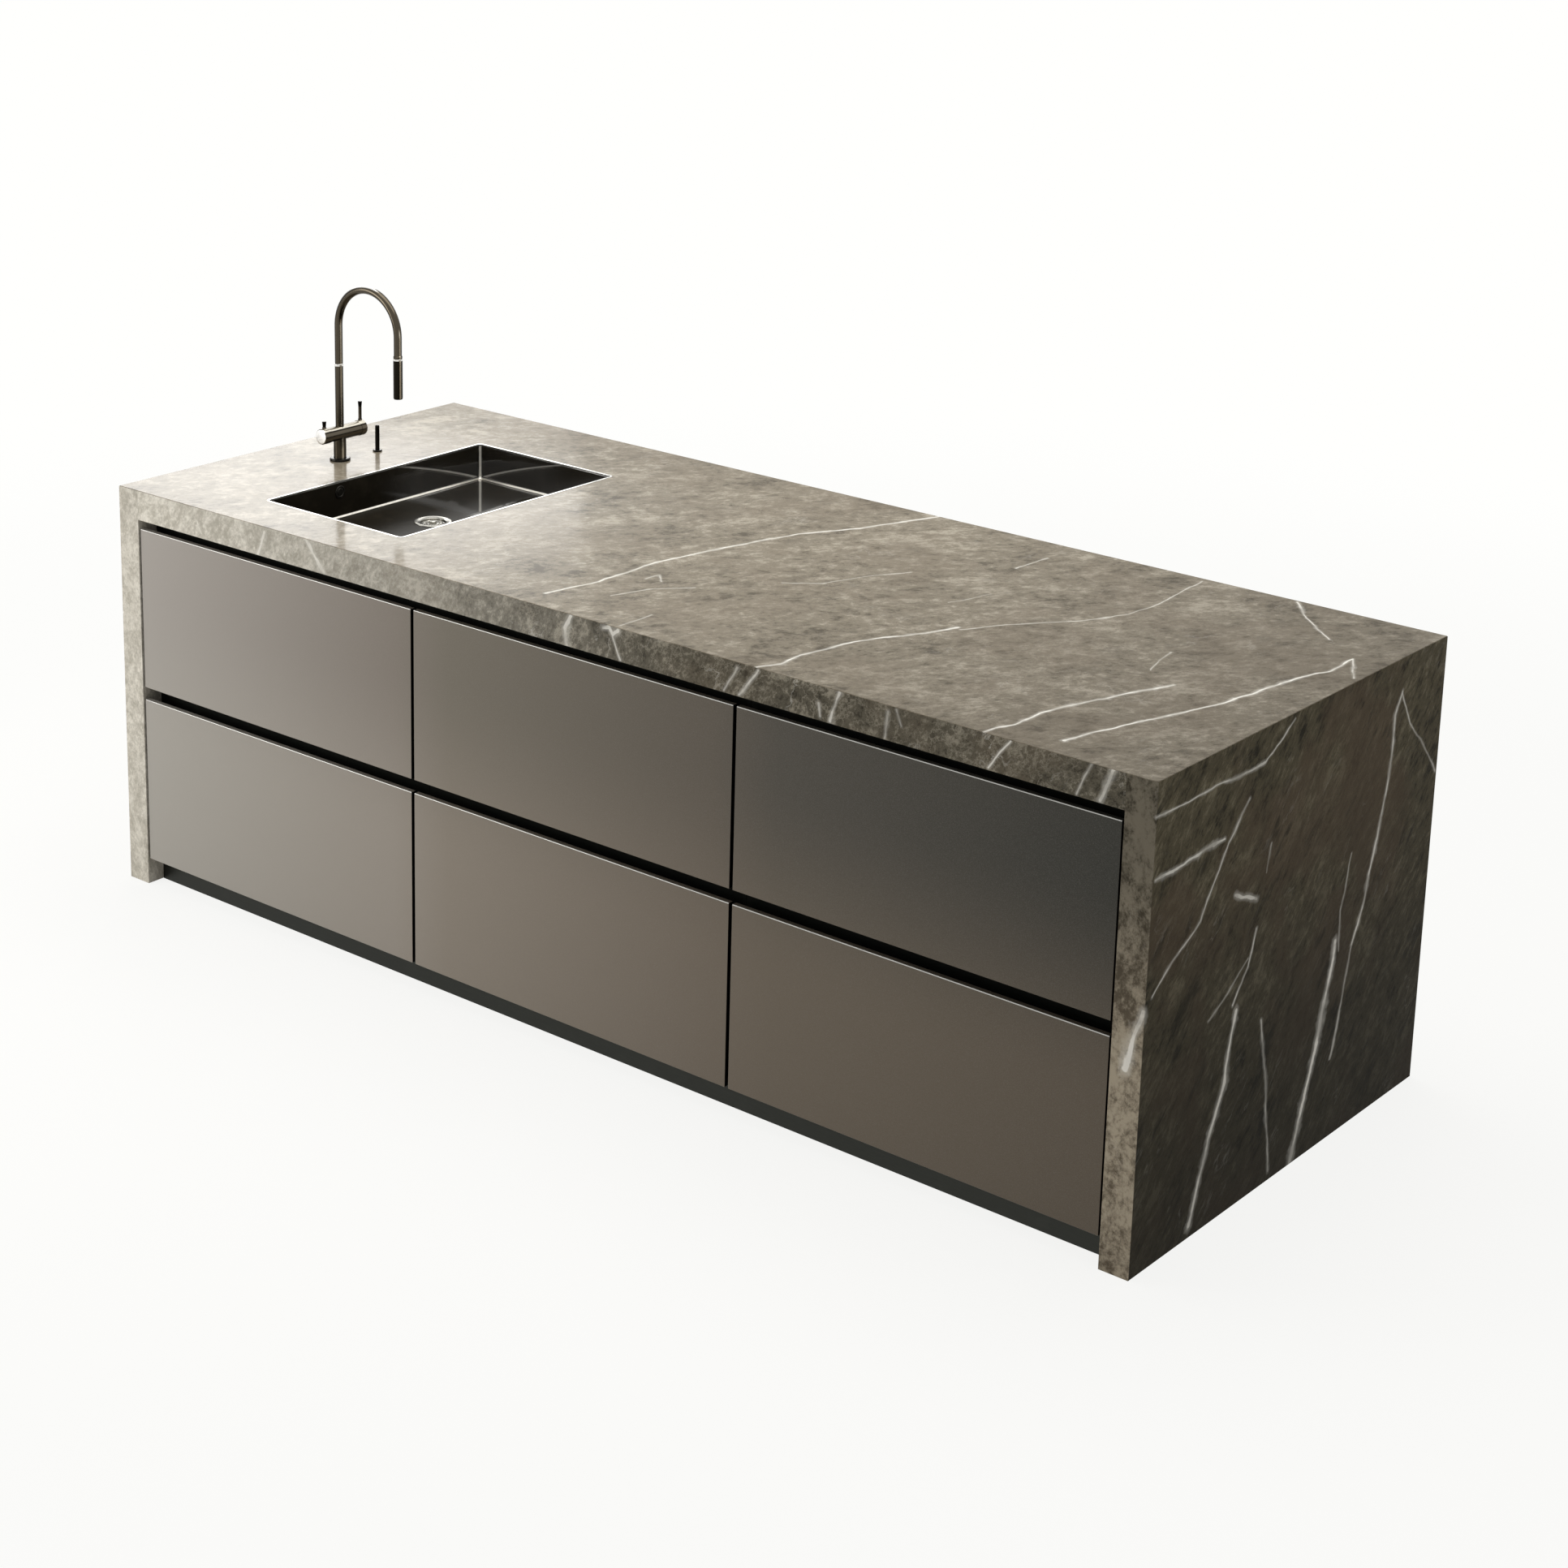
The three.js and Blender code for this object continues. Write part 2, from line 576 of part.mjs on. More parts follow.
function packingFrame() {
  const edge = HALF_DEPTH - APRON_THICKNESS - TOUCH;
  const rails = [[-edge, -edge + RAIL_WIDTH], [edge - RAIL_WIDTH, edge]];
  const body = ladder(rails, RAIL_WIDTH, [APRON_UNDERSIDE, SLAB_UNDERSIDE - TOUCH]).subtract(sinkClearance());
  return piece('packing_frame', body, FINISHES.board());
}

function baseFrame() {
  const edge = -PLINTH_FACE - PLINTH_BOARD - TOUCH;
  const rails = [[-edge, -edge + BOARD], [CARCASS_REAR - BOARD, CARCASS_REAR], [edge - BOARD, edge]];
  return piece('base_frame', ladder(rails, BOARD, [0, PLINTH_HEIGHT]), FINISHES.board());
}

/** Upright boards behind the carcasses, tied by rails that the rear panels are fixed to. */
function rearFrame() {
  const half = MODULES_HALF - TOUCH;
  const [front, rear] = [CARCASS_REAR + TOUCH, COVER_INNER - TOUCH];
  let body = block([-half, half], [front, rear], [CARCASS_BOTTOM, CARCASS_TOP]);
  for (const bay of bays(BOARD, half)) {
    body = body
      .subtract(block(bay, [front - 1, rear - RAIL_WIDTH], [CARCASS_BOTTOM - 1, CARCASS_TOP + 1]))
      .subtract(block(bay, [front - 1, rear + 1], [CARCASS_BOTTOM + BOARD, CARCASS_TOP - BOARD]));
  }
  return piece('rear_frame', body, FINISHES.board());
}

function plinthBoard(name, side) {
  const faces = [-PLINTH_FACE - PLINTH_BOARD, -PLINTH_FACE].map((y) => y * side);
  const body = block([-MODULES_HALF, MODULES_HALF], faces.sort((a, b) => a - b), [0, PLINTH_HEIGHT - SCRIBE]);
  return piece(name, body, FINISHES.darkMetal());
}

function rearPanel(index) {
  const middle = COLUMN_XS[index];
  const width = [middle - FRONT_WIDTH / 2, middle + FRONT_WIDTH / 2];
  const body = block(
    width,
    [COVER_INNER, COVER_INNER + FRONT_THICKNESS],
    [PLINTH_HEIGHT, APRON_UNDERSIDE - COVER_GAP],
  );
  return piece(`rear_panel_${COLUMN_NAMES[index]}`, body, FINISHES.lacquer());
}

// ---------- Drawers ----------

/** A front in its drawer's frame: X centred, Y from its outer face, Z from its lower edge. */
function drawerFront(label, row) {
  const section = shapeOf([
    [0, 0], [FRONT_THICKNESS, 0], [FRONT_THICKNESS, row.height - GRIP_BEVEL], [GRIP_LAND, row.height],
    [0, row.height],
  ]);
  const body = alongX(section, -FRONT_WIDTH / 2, FRONT_WIDTH / 2);
  return piece(`drawer_front_${label}`, body, FINISHES.lacquer());
}

/** The member on a drawer's side, which runs inside the fixed runner. */
function drawerRail(boxHalf, side) {
  const gable = boxHalf + BOX_SIDE_GAP;
  const headOuter = gable - TOUCH - RUNNER_WALL - RUNNER_PLAY;
  const headInner = gable - TOUCH - RUNNER_WIDTH + RUNNER_WALL + RUNNER_PLAY;
  const headHalf = RUNNER_HEIGHT / 2 - RUNNER_WALL - RUNNER_PLAY;
  const stemHalf = RUNNER_HEIGHT / 2 - RUNNER_LIP - RUNNER_PLAY;
  const section = shapeOf([
    [boxHalf - 1, -stemHalf], [headInner, -stemHalf], [headInner, -headHalf], [headOuter, -headHalf],
    [headOuter, headHalf], [headInner, headHalf], [headInner, stemHalf], [boxHalf - 1, stemHalf],
  ]);
  const rail = alongY(section, FRONT_THICKNESS + BUMPER_GAP, FRONT_THICKNESS + BUMPER_GAP + RUNNER_LENGTH);
  return side > 0 ? rail : rail.mirror([1, 0, 0]);
}

const BOX_HALF = CARCASS_WIDTH / 2 - BOARD - BOX_SIDE_GAP;

/** The box cut back round the trap, with a wall along the cut. */
function trapBay(row, column) {
  const middle = DRAIN_X - COLUMN_XS[column];
  const half = TRAP_BAY_WIDTH / 2;
  const start = SINK_PLACE.y - TRAP_RADIUS - TRAP_BAY_MARGIN - FRONT_FACE;
  const rear = FRONT_THICKNESS + TOUCH + BOX_LENGTH;
  const wall = block(
    [middle - half - BOX_WALL, middle + half + BOX_WALL],
    [start - BOX_WALL, rear],
    [0, row.boxHeight],
  );
  const bay = block([middle - half, middle + half], [start, rear + 1], [-1, row.boxHeight + 1]);
  return { wall, bay };
}

function drawerBox(label, row, column) {
  const front = FRONT_THICKNESS + TOUCH;
  const rear = front + BOX_LENGTH;
  let body = block([-BOX_HALF, BOX_HALF], [front, rear], [0, row.boxHeight]).subtract(
    block(
      [-BOX_HALF + BOX_WALL, BOX_HALF - BOX_WALL],
      [front + BOX_WALL, rear - BOX_WALL],
      [BOX_BOTTOM, row.boxHeight + 1],
    ),
  );
  if (column === 0 && row.name === 'upper') {
    const { wall, bay } = trapBay(row, column);
    body = body.add(wall).subtract(bay);
  }
  for (const side of [-1, 1]) {
    body = body.add(drawerRail(BOX_HALF, side).translate([0, 0, RUNNER_LIFT]));
  }
  const mesh = piece(`drawer_box_${label}`, body, FINISHES.board());
  mesh.position.z = row.boxLift;
  return mesh;
}

/** The fixed member of a runner, in its drawer's frame. */
function fixedRunner(label, row, side) {
  const outer = BOX_HALF + BOX_SIDE_GAP - TOUCH;
  const inner = outer - RUNNER_WIDTH;
  const half = RUNNER_HEIGHT / 2;
  const web = outer - RUNNER_WALL;
  const lip = inner + RUNNER_WALL;
  const section = shapeOf([
    [outer, -half], [outer, half], [inner, half], [inner, half - RUNNER_LIP], [lip, half - RUNNER_LIP],
    [lip, half - RUNNER_WALL], [web, half - RUNNER_WALL], [web, -half + RUNNER_WALL],
    [lip, -half + RUNNER_WALL], [lip, -half + RUNNER_LIP], [inner, -half + RUNNER_LIP], [inner, -half],
  ]);
  const start = FRONT_THICKNESS + BUMPER_GAP;
  const rail = alongY(section, start, start + RUNNER_LENGTH);
  const body = side > 0 ? rail : rail.mirror([1, 0, 0]);
  const hand = side > 0 ? 'right' : 'left';
  const mesh = piece(`runner_${label}_${hand}`, body, FINISHES.runnerSteel());
  mesh.position.z = row.boxLift + RUNNER_LIFT;
  return mesh;
}

function drawer(row, column) {
  const label = `${row.name}_${COLUMN_NAMES[column]}`;
  return groupAt(
    new THREE.Vector3(COLUMN_XS[column], FRONT_FACE, row.bottom),
    drawerFront(label, row),
    drawerBox(label, row, column),
    fixedRunner(label, row, -1),
    fixedRunner(label, row, 1),
  );
}

// ---------- Sink ----------

function sinkBowl() {
  const grown = (by) => roundedRectangle(SINK_WIDTH + 2 * by, SINK_LENGTH + 2 * by, SINK_CORNER + by);
  const flangeTop = -SLAB_THICKNESS - TOUCH;
  const shell = alongZ(grown(SINK_WALL), -SINK_DEPTH - SINK_FLOOR, RIM_PROUD - RIM_HEIGHT - TOUCH)
    .add(alongZ(grown(SINK_FLANGE), flangeTop - SINK_FLANGE_THICKNESS, flangeTop))
    .subtract(alongZ(grown(0), -SINK_DEPTH, 1));
  const drainHole = rod(DRAIN_RADIUS + TOUCH, -SINK_DEPTH - SINK_FLOOR - 1, 1)
    .translate([-DRAIN_OFFSET, 0, 0]);
  const overflow = rod(OVERFLOW_HOLE, -SINK_WALL - 1, 1, FINE)
    .rotate([0, 90, 0])
    .translate([-SINK_WIDTH / 2, OVERFLOW_FROM_FRONT - SINK_FROM_FRONT, -OVERFLOW_DROP]);
  return piece('sink_bowl', shell.subtract(drainHole).subtract(overflow), FINISHES.sinkBlack());
}

function sinkRim() {
  const frame = roundedRectangle(SINK_WIDTH + 2 * RIM_WIDTH, SINK_LENGTH + 2 * RIM_WIDTH, SINK_CORNER + RIM_WIDTH);
  const opening = roundedRectangle(SINK_WIDTH, SINK_LENGTH, SINK_CORNER);
  const body = alongZ(frame, RIM_PROUD - RIM_HEIGHT, RIM_PROUD)
    .subtract(alongZ(opening, RIM_PROUD - RIM_HEIGHT - 1, RIM_PROUD + 1));
  return piece('sink_rim', body, FINISHES.brightSteel());
}

function overflowCover() {
  const stem = OVERFLOW_HOLE - TOUCH;
  const profile = [
    [0, -SINK_WALL], [stem, -SINK_WALL], [stem, TOUCH], [OVERFLOW_RADIUS, TOUCH],
    [OVERFLOW_RADIUS, OVERFLOW_THICKNESS - 1], [OVERFLOW_RADIUS - 1, OVERFLOW_THICKNESS], [0, OVERFLOW_THICKNESS],
  ];
  const mesh = piece('overflow_cover', turned(profile, FINE), FINISHES.brightSteel());
  mesh.rotation.y = Math.PI / 2;
  mesh.position.set(-SINK_WIDTH / 2, OVERFLOW_FROM_FRONT - SINK_FROM_FRONT, -OVERFLOW_DROP);
  return mesh;
}

function drainBody() {
  const bore = DRAIN_RADIUS - DRAIN_WALL;
  const seat = bore - DRAIN_SEAT_WIDTH;
  const outletBore = OUTLET_RADIUS - DRAIN_WALL;
  const bottom = -DRAIN_DEPTH;
  const profile = [
    [outletBore, bottom - OUTLET_LENGTH], [OUTLET_RADIUS, bottom - OUTLET_LENGTH], [OUTLET_RADIUS, bottom],
    [DRAIN_RADIUS, bottom], [DRAIN_RADIUS, TOUCH], [DRAIN_RADIUS + DRAIN_FLANGE, TOUCH],
    [DRAIN_RADIUS + DRAIN_FLANGE - 1, TOUCH + DRAIN_FLANGE_THICKNESS], [bore, TOUCH + DRAIN_FLANGE_THICKNESS],
    [bore, -DRAIN_SEAT_DEPTH], [seat, -DRAIN_SEAT_DEPTH], [seat, bottom + DRAIN_WALL],
    [outletBore, bottom + DRAIN_WALL], [outletBore, bottom - OUTLET_LENGTH],
  ];
  const mesh = piece('drain_body', turned(profile), FINISHES.brightSteel());
  mesh.position.set(-DRAIN_OFFSET, 0, -SINK_DEPTH);
  return mesh;
}

function drainPlug() {
  const radius = DRAIN_RADIUS - DRAIN_WALL - PLUG_PLAY;
  const low = -DRAIN_SEAT_DEPTH + TOUCH;
  const high = low + PLUG_THICKNESS;
  const profile = [
    [0, low - PLUG_STEM_LENGTH], [PLUG_STEM_RADIUS, low - PLUG_STEM_LENGTH], [PLUG_STEM_RADIUS, low],
    [radius, low], [radius, high - 1], [radius - 1, high], [PLUG_BUTTON_RADIUS, high],
    [PLUG_BUTTON_RADIUS, high + PLUG_BUTTON_HEIGHT], [0, high + PLUG_BUTTON_HEIGHT],
  ];
  const mesh = piece('drain_plug', turned(profile), FINISHES.brightSteel());
  mesh.position.set(-DRAIN_OFFSET, 0, -SINK_DEPTH);
  return mesh;
}

/** The bottle trap: a union nut on the drain's outlet, a cup and a side outlet. */
function bottleTrap() {
  const inletBore = OUTLET_RADIUS + TOUCH;
  const bottom = TRAP_TOP - TRAP_HEIGHT;
  const cup = turned([
    [0, bottom], [TRAP_RADIUS - 4, bottom], [TRAP_RADIUS, bottom + 4], [TRAP_RADIUS, TRAP_TOP - 6],
    [TRAP_NUT_RADIUS, TRAP_TOP - 2], [TRAP_NUT_RADIUS, DRAIN_OUTLET + TRAP_NUT_HEIGHT + OUTLET_LENGTH / 3],
    [inletBore, DRAIN_OUTLET + TRAP_NUT_HEIGHT + OUTLET_LENGTH / 3], [inletBore, TRAP_TOP - 2 * TRAP_WALL],
    [TRAP_RADIUS - TRAP_WALL, TRAP_TOP - 3 * TRAP_WALL], [TRAP_RADIUS - TRAP_WALL, bottom + TRAP_WALL],
    [0, bottom + TRAP_WALL],
  ]);
  const boss = layAlongY(rod(PIPE_RADIUS + TRAP_WALL, 0, TRAP_RADIUS + TRAP_NUT_HEIGHT, FINE));
  const bore = layAlongY(rod(PIPE_RADIUS - PIPE_WALL, 0, 2 * TRAP_RADIUS + TRAP_NUT_HEIGHT, FINE));
  const socket = layAlongY(rod(PIPE_RADIUS + TOUCH, 0, TRAP_NUT_HEIGHT + 1, FINE));
  const inside = rod(TRAP_RADIUS - TRAP_WALL, bottom + TRAP_WALL, TRAP_TOP - 3 * TRAP_WALL);
  const outlet = boss.subtract(bore).translate([0, 0, PIPE_AXIS]).subtract(inside);
  const body = cup
    .subtract(bore.translate([0, 0, PIPE_AXIS]))
    .add(outlet)
    .subtract(socket.translate([0, TRAP_RADIUS, PIPE_AXIS]));
  const mesh = piece('bottle_trap', body, FINISHES.plastic());
  mesh.position.set(DRAIN_X, SINK_PLACE.y, 0);
  return mesh;
}

function wastePipe() {
  const start = new THREE.Vector3(DRAIN_X, SINK_PLACE.y + TRAP_RADIUS + TOUCH, PIPE_AXIS);
  const drop = CARCASS_REAR + PIPE_RUN;
  const bendStart = new THREE.Vector3(DRAIN_X, drop - PIPE_BEND, PIPE_AXIS);
  const bendCentre = new THREE.Vector3(DRAIN_X, drop - PIPE_BEND, PIPE_AXIS - PIPE_BEND);
  const bendEnd = new THREE.Vector3(DRAIN_X, drop, PIPE_AXIS - PIPE_BEND);
  const end = new THREE.Vector3(DRAIN_X, drop, PIPE_TO_FLOOR);
  const path = new THREE.CurvePath();
  path.add(new THREE.LineCurve3(start, bendStart));
  const up = new THREE.Vector3(0, 0, PIPE_BEND);
  const rearward = new THREE.Vector3(0, PIPE_BEND, 0);
  path.add(new Arc(bendCentre, up, rearward, Math.PI / 2));
  path.add(new THREE.LineCurve3(bendEnd, end));
  const body = swept(path, PIPE_RADIUS, PIPE_STEPS, FINE / 4, PIPE_RADIUS - PIPE_WALL);
  return piece('waste_pipe', body, FINISHES.plastic());
}

// ---------- Tap ----------

function tapBaseRing() {
  const bore = TAP_POST_RADIUS + TOUCH;
  const body = turned([
    [bore, TOUCH], [TAP_RING_RADIUS, TOUCH], [TAP_RING_RADIUS, TAP_RING_HEIGHT - 2],
    [TAP_RING_RADIUS - 2, TAP_RING_HEIGHT], [bore, TAP_RING_HEIGHT], [bore, TOUCH],
  ]);
  return piece('tap_base_ring', body, FINISHES.tapMetal());
}

/** Shank, post, cross bar with its spindles, column and the pivot for the spout. */
function tapBody() {
  const spindles = layAlongY(
    rod(SPINDLE_RADIUS, -BAR_FRONT - SPINDLE_LENGTH, BAR_REAR + SPINDLE_LENGTH, FINE),
  ).translate([0, 0, BAR_AXIS]);
  const bar = layAlongY(rod(BAR_RADIUS, -BAR_FRONT, BAR_REAR)).translate([0, 0, BAR_AXIS]);
  const post = turned([
    [0, -TAP_SHANK_LENGTH], [TAP_SHANK_RADIUS, -TAP_SHANK_LENGTH], [TAP_SHANK_RADIUS, 0],
    [TAP_POST_RADIUS, 0], [TAP_POST_RADIUS, BAR_AXIS], [0, BAR_AXIS],
  ]);
  let body = post
    .add(bar)
    .add(spindles)
    .add(rod(COLUMN_RADIUS, BAR_AXIS, COLUMN_TOP, FINE))
    .add(rod(PIVOT_RADIUS, COLUMN_TOP - 1, COLUMN_TOP + COLLAR_HEIGHT + PIVOT_LENGTH, FINE));
  for (const side of [-1, 1]) {
    const inlet = rod(TAP_INLET_RADIUS, -TAP_SHANK_LENGTH - TAP_INLET_LENGTH, -TAP_SHANK_LENGTH + 1, FINE / 2);
    body = body.add(inlet.translate([0, (side * TAP_INLET_SPACING) / 2, 0]));
  }
  return piece('tap_body', body, FINISHES.tapMetal());
}

function tapNut() {
  const top = -SLAB_THICKNESS - TOUCH;
  const bore = rod(TAP_SHANK_RADIUS + TOUCH, top - WASHER_THICKNESS - NUT_HEIGHT - 1, top + 1);
  const nut = rod(NUT_RADIUS, top - WASHER_THICKNESS - NUT_HEIGHT, top - WASHER_THICKNESS, 6);
  const body = nut.add(rod(WASHER_RADIUS, top - WASHER_THICKNESS, top)).subtract(bore);
  return piece('tap_nut', body, FINISHES.runnerSteel());
}

/** A cap on one end of the bar, with its lever; it turns about the bar. */
function leverCap(name, side, length, barEnd, top) {
  const inner = TOUCH;
  const bore = SPINDLE_RADIUS + TOUCH;
  const depth = SPINDLE_LENGTH + TOUCH;
  const cap = turned([
    [0, depth], [bore, depth], [bore, inner], [CAP_RADIUS, inner], [CAP_RADIUS, length - CAP_ROUNDING],
    [CAP_RADIUS - CAP_ROUNDING / 3, length - CAP_ROUNDING / 3], [CAP_RADIUS - CAP_ROUNDING, length], [0, length],
  ]);
  const tip = top - BAR_AXIS;
  const lever = turned([
    [0, CAP_RADIUS / 2], [LEVER_RADIUS + 1, CAP_RADIUS / 2], [LEVER_RADIUS + 1, CAP_RADIUS + 2],
    [LEVER_RADIUS, CAP_RADIUS + 4], [LEVER_RADIUS, tip - LEVER_FLARE],
    [LEVER_TIP_RADIUS, tip - 1], [LEVER_TIP_RADIUS - 1, tip], [0, tip],
  ], FINE / 2);
  const body = layAlongY(cap, side).add(lever.translate([0, (side * length) / 2, 0]));
  const mesh = piece(name, body, FINISHES.tapMetal());
  mesh.position.set(0, side * barEnd, BAR_AXIS);
  return mesh;
}

function spoutCollar() {
  const bore = PIVOT_RADIUS + TOUCH;
  const low = COLUMN_TOP + TOUCH;
  const high = COLUMN_TOP + COLLAR_HEIGHT;
  const body = turned([
    [bore, low], [COLLAR_RADIUS - 1, low], [COLLAR_RADIUS, low + 1], [COLLAR_RADIUS, high - 1],
    [COLLAR_RADIUS - 1, high], [bore, high], [bore, low],
  ], FINE);
  return piece('spout_collar', body, FINISHES.brightSteel());
}

/** The swan neck: bored at its foot for the pivot and at its end for the hose. */
function tapSpout() {
  const foot = COLUMN_TOP + COLLAR_HEIGHT + TOUCH;
  const reach = 2 * SPOUT_ARCH;
  const path = new THREE.CurvePath();
  path.add(new THREE.LineCurve3(new THREE.Vector3(0, 0, foot), new THREE.Vector3(0, 0, SPOUT_TANGENT)));
  const back = new THREE.Vector3(-SPOUT_ARCH, 0, 0);
  const up = new THREE.Vector3(0, 0, SPOUT_ARCH);
  path.add(new Arc(new THREE.Vector3(SPOUT_ARCH, 0, SPOUT_TANGENT), back, up, Math.PI));
  path.add(new THREE.LineCurve3(
    new THREE.Vector3(reach, 0, SPOUT_TANGENT),
    new THREE.Vector3(reach, 0, DOCK_HEIGHT + 1),
  ));
  const dock = rod(DOCK_RADIUS, DOCK_HEIGHT, DOCK_HEIGHT + DOCK_THICKNESS, FINE);
  const pivotBore = rod(PIVOT_RADIUS + TOUCH, foot - 1, COLUMN_TOP + COLLAR_HEIGHT + PIVOT_LENGTH + 1, FINE);
  const hoseBore = rod(HOSE_RADIUS + SLIDE_PLAY, DOCK_HEIGHT - 1, DOCK_HEIGHT + HOSE_STOWED + 1, FINE);
  const body = swept(path, SPOUT_RADIUS, ARCH_STEPS, FINE / 2)
    .add(dock.translate([reach, 0, 0]))
    .subtract(pivotBore)
    .subtract(hoseBore.translate([reach, 0, 0]));
  return piece('tap_spout', body, FINISHES.tapMetal());
}

function sprayHead() {
  const top = DOCK_HEIGHT - TOUCH;
  const bottom = top - HEAD_LENGTH;
  const body = turned([
    [0, bottom + 2], [NOZZLE_RADIUS - 2, bottom + 2], [NOZZLE_RADIUS - 2, bottom], [NOZZLE_RADIUS, bottom],
    [HEAD_RADIUS, bottom + NOZZLE_LENGTH], [HEAD_RADIUS, top - 1], [HEAD_RADIUS - 1, top], [0, top],
  ], FINE);
  const mesh = piece('spray_head', body, FINISHES.tapMetal());
  mesh.position.x = 2 * SPOUT_ARCH;
  return mesh;
}

function sprayHose() {
  const mesh = piece('spray_hose', rod(HOSE_RADIUS, 0, HOSE_STOWED, FINE / 2), FINISHES.hose());
  mesh.position.set(2 * SPOUT_ARCH, 0, DOCK_HEIGHT);
  return mesh;
}

// ---------- Waste-control knob ----------

function knobBase() {
  const bore = KNOB_ROD_RADIUS + TOUCH;
  const body = turned([
    [bore, -KNOB_GUIDE_LENGTH], [KNOB_GUIDE_RADIUS, -KNOB_GUIDE_LENGTH], [KNOB_GUIDE_RADIUS, TOUCH],
    [KNOB_BASE_RADIUS, TOUCH], [KNOB_BASE_RADIUS, KNOB_BASE_HEIGHT - 1],
    [KNOB_BASE_RADIUS - 1, KNOB_BASE_HEIGHT], [bore, KNOB_BASE_HEIGHT], [bore, -KNOB_GUIDE_LENGTH],
  ], FINE);
  return piece('knob_base', body, FINISHES.tapMetal());
}

function wasteKnob() {
  const low = KNOB_BASE_HEIGHT + TOUCH;
  const body = turned([
    [0, -KNOB_ROD_LENGTH], [KNOB_ROD_RADIUS, -KNOB_ROD_LENGTH], [KNOB_ROD_RADIUS, low], [KNOB_RADIUS, low],
    [KNOB_RADIUS, KNOB_HEIGHT - KNOB_DOME], [KNOB_RADIUS - KNOB_DOME / 2, KNOB_HEIGHT - KNOB_DOME / 3],
    [0, KNOB_HEIGHT],
  ], FINE);
  return piece('waste_knob', body, FINISHES.tapMetal());
}

// ---------- Assembly ----------

const island = new THREE.Group();

island.add(
  worktop(),
  apron('front_apron', -1),
  apron('rear_apron', 1),
  endPanel('left_end_panel', -1),
  endPanel('right_end_panel', 1),
  packingFrame(),
  baseFrame(),
  rearFrame(),
  plinthBoard('plinth_front', -1),
  plinthBoard('plinth_rear', 1),
  gripChannel('top_channel', TOP_CHANNEL_BOTTOM, APRON_UNDERSIDE - TOUCH),
  gripChannel('middle_channel', MIDDLE_CHANNEL_BOTTOM, MIDDLE_CHANNEL_TOP),
);

COLUMN_NAMES.forEach((name, column) => {
  island.add(carcass(column), rearPanel(column));
  ROWS.forEach((row) => island.add(drawer(row, column)));
});

island.add(
  groupAt(SINK_PLACE, sinkBowl(), sinkRim(), overflowCover(), drainBody(), drainPlug()),
  bottleTrap(),
  wastePipe(),
  groupAt(
    TAP_PLACE,
    tapBaseRing(),
    tapBody(),
    tapNut(),
    leverCap('lever_front', -1, CAP_FRONT_LENGTH, BAR_FRONT, LEVER_FRONT_TOP),
    leverCap('lever_rear', 1, CAP_REAR_LENGTH, BAR_REAR, LEVER_REAR_TOP),
    spoutCollar(),
    tapSpout(),
    sprayHead(),
    sprayHose(),
  ),
  groupAt(KNOB_PLACE, knobBase(), wasteKnob()),
);

export default island;
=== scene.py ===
"""Dresses the kitchen island unit in its stone, lacquer, sink, tap and drawers, in metres."""

import logging
import math
from collections.abc import Callable
from dataclasses import dataclass
from enum import Enum
from typing import Any

import bmesh
import bpy
from bmesh.types import BMEdge, BMesh, BMFace, BMVert
from mathutils import Matrix, Vector


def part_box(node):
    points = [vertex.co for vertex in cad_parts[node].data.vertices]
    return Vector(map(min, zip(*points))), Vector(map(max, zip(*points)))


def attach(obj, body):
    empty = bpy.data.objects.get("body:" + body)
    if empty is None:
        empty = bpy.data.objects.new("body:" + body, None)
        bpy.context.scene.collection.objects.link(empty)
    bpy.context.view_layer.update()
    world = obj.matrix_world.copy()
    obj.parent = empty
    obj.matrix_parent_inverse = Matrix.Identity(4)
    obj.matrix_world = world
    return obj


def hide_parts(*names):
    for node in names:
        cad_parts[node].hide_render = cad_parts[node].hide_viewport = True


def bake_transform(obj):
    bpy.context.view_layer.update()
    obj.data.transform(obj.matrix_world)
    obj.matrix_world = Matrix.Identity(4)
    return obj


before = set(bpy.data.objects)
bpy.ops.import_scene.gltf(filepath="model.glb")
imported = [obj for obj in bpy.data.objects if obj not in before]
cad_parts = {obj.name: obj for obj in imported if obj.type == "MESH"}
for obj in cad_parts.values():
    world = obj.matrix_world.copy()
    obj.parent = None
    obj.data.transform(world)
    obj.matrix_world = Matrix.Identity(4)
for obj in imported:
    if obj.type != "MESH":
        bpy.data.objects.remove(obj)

LOG = logging.getLogger("island")

Colour = tuple[float, float, float]
Point = tuple[float, float, float]
Profile = tuple[tuple[float, float], ...]
Stops = tuple[tuple[float, Colour], ...]

UP = Vector((0, 0, 1))
MM = 0.001
HAIR = 1e-5  # what counts as the same place, in metres
ARCH = 0.0925  # radius of the tap's swan neck, in metres
WHITE: Colour = (1.0, 1.0, 0.985)


# ---------------------------------------------------------------- shader maths


def arithmetic(operation: str, flipped: bool = False) -> Callable[["Value", Any], "Value"]:
    """Makes one arithmetic method of Value.

    Args:
        operation: Blender's name of the operation.
        flipped: whether the other operand comes first.

    Returns:
        The method, which adds one Math node.
    """

    def method(self: "Value", other: Any = 0.0) -> "Value":
        """Joins both operands by the node."""
        operands = {0: other, 1: self} if flipped else {0: self, 1: other}
        return self.graph.node("ShaderNodeMath", {"operation": operation}, operands)

    return method


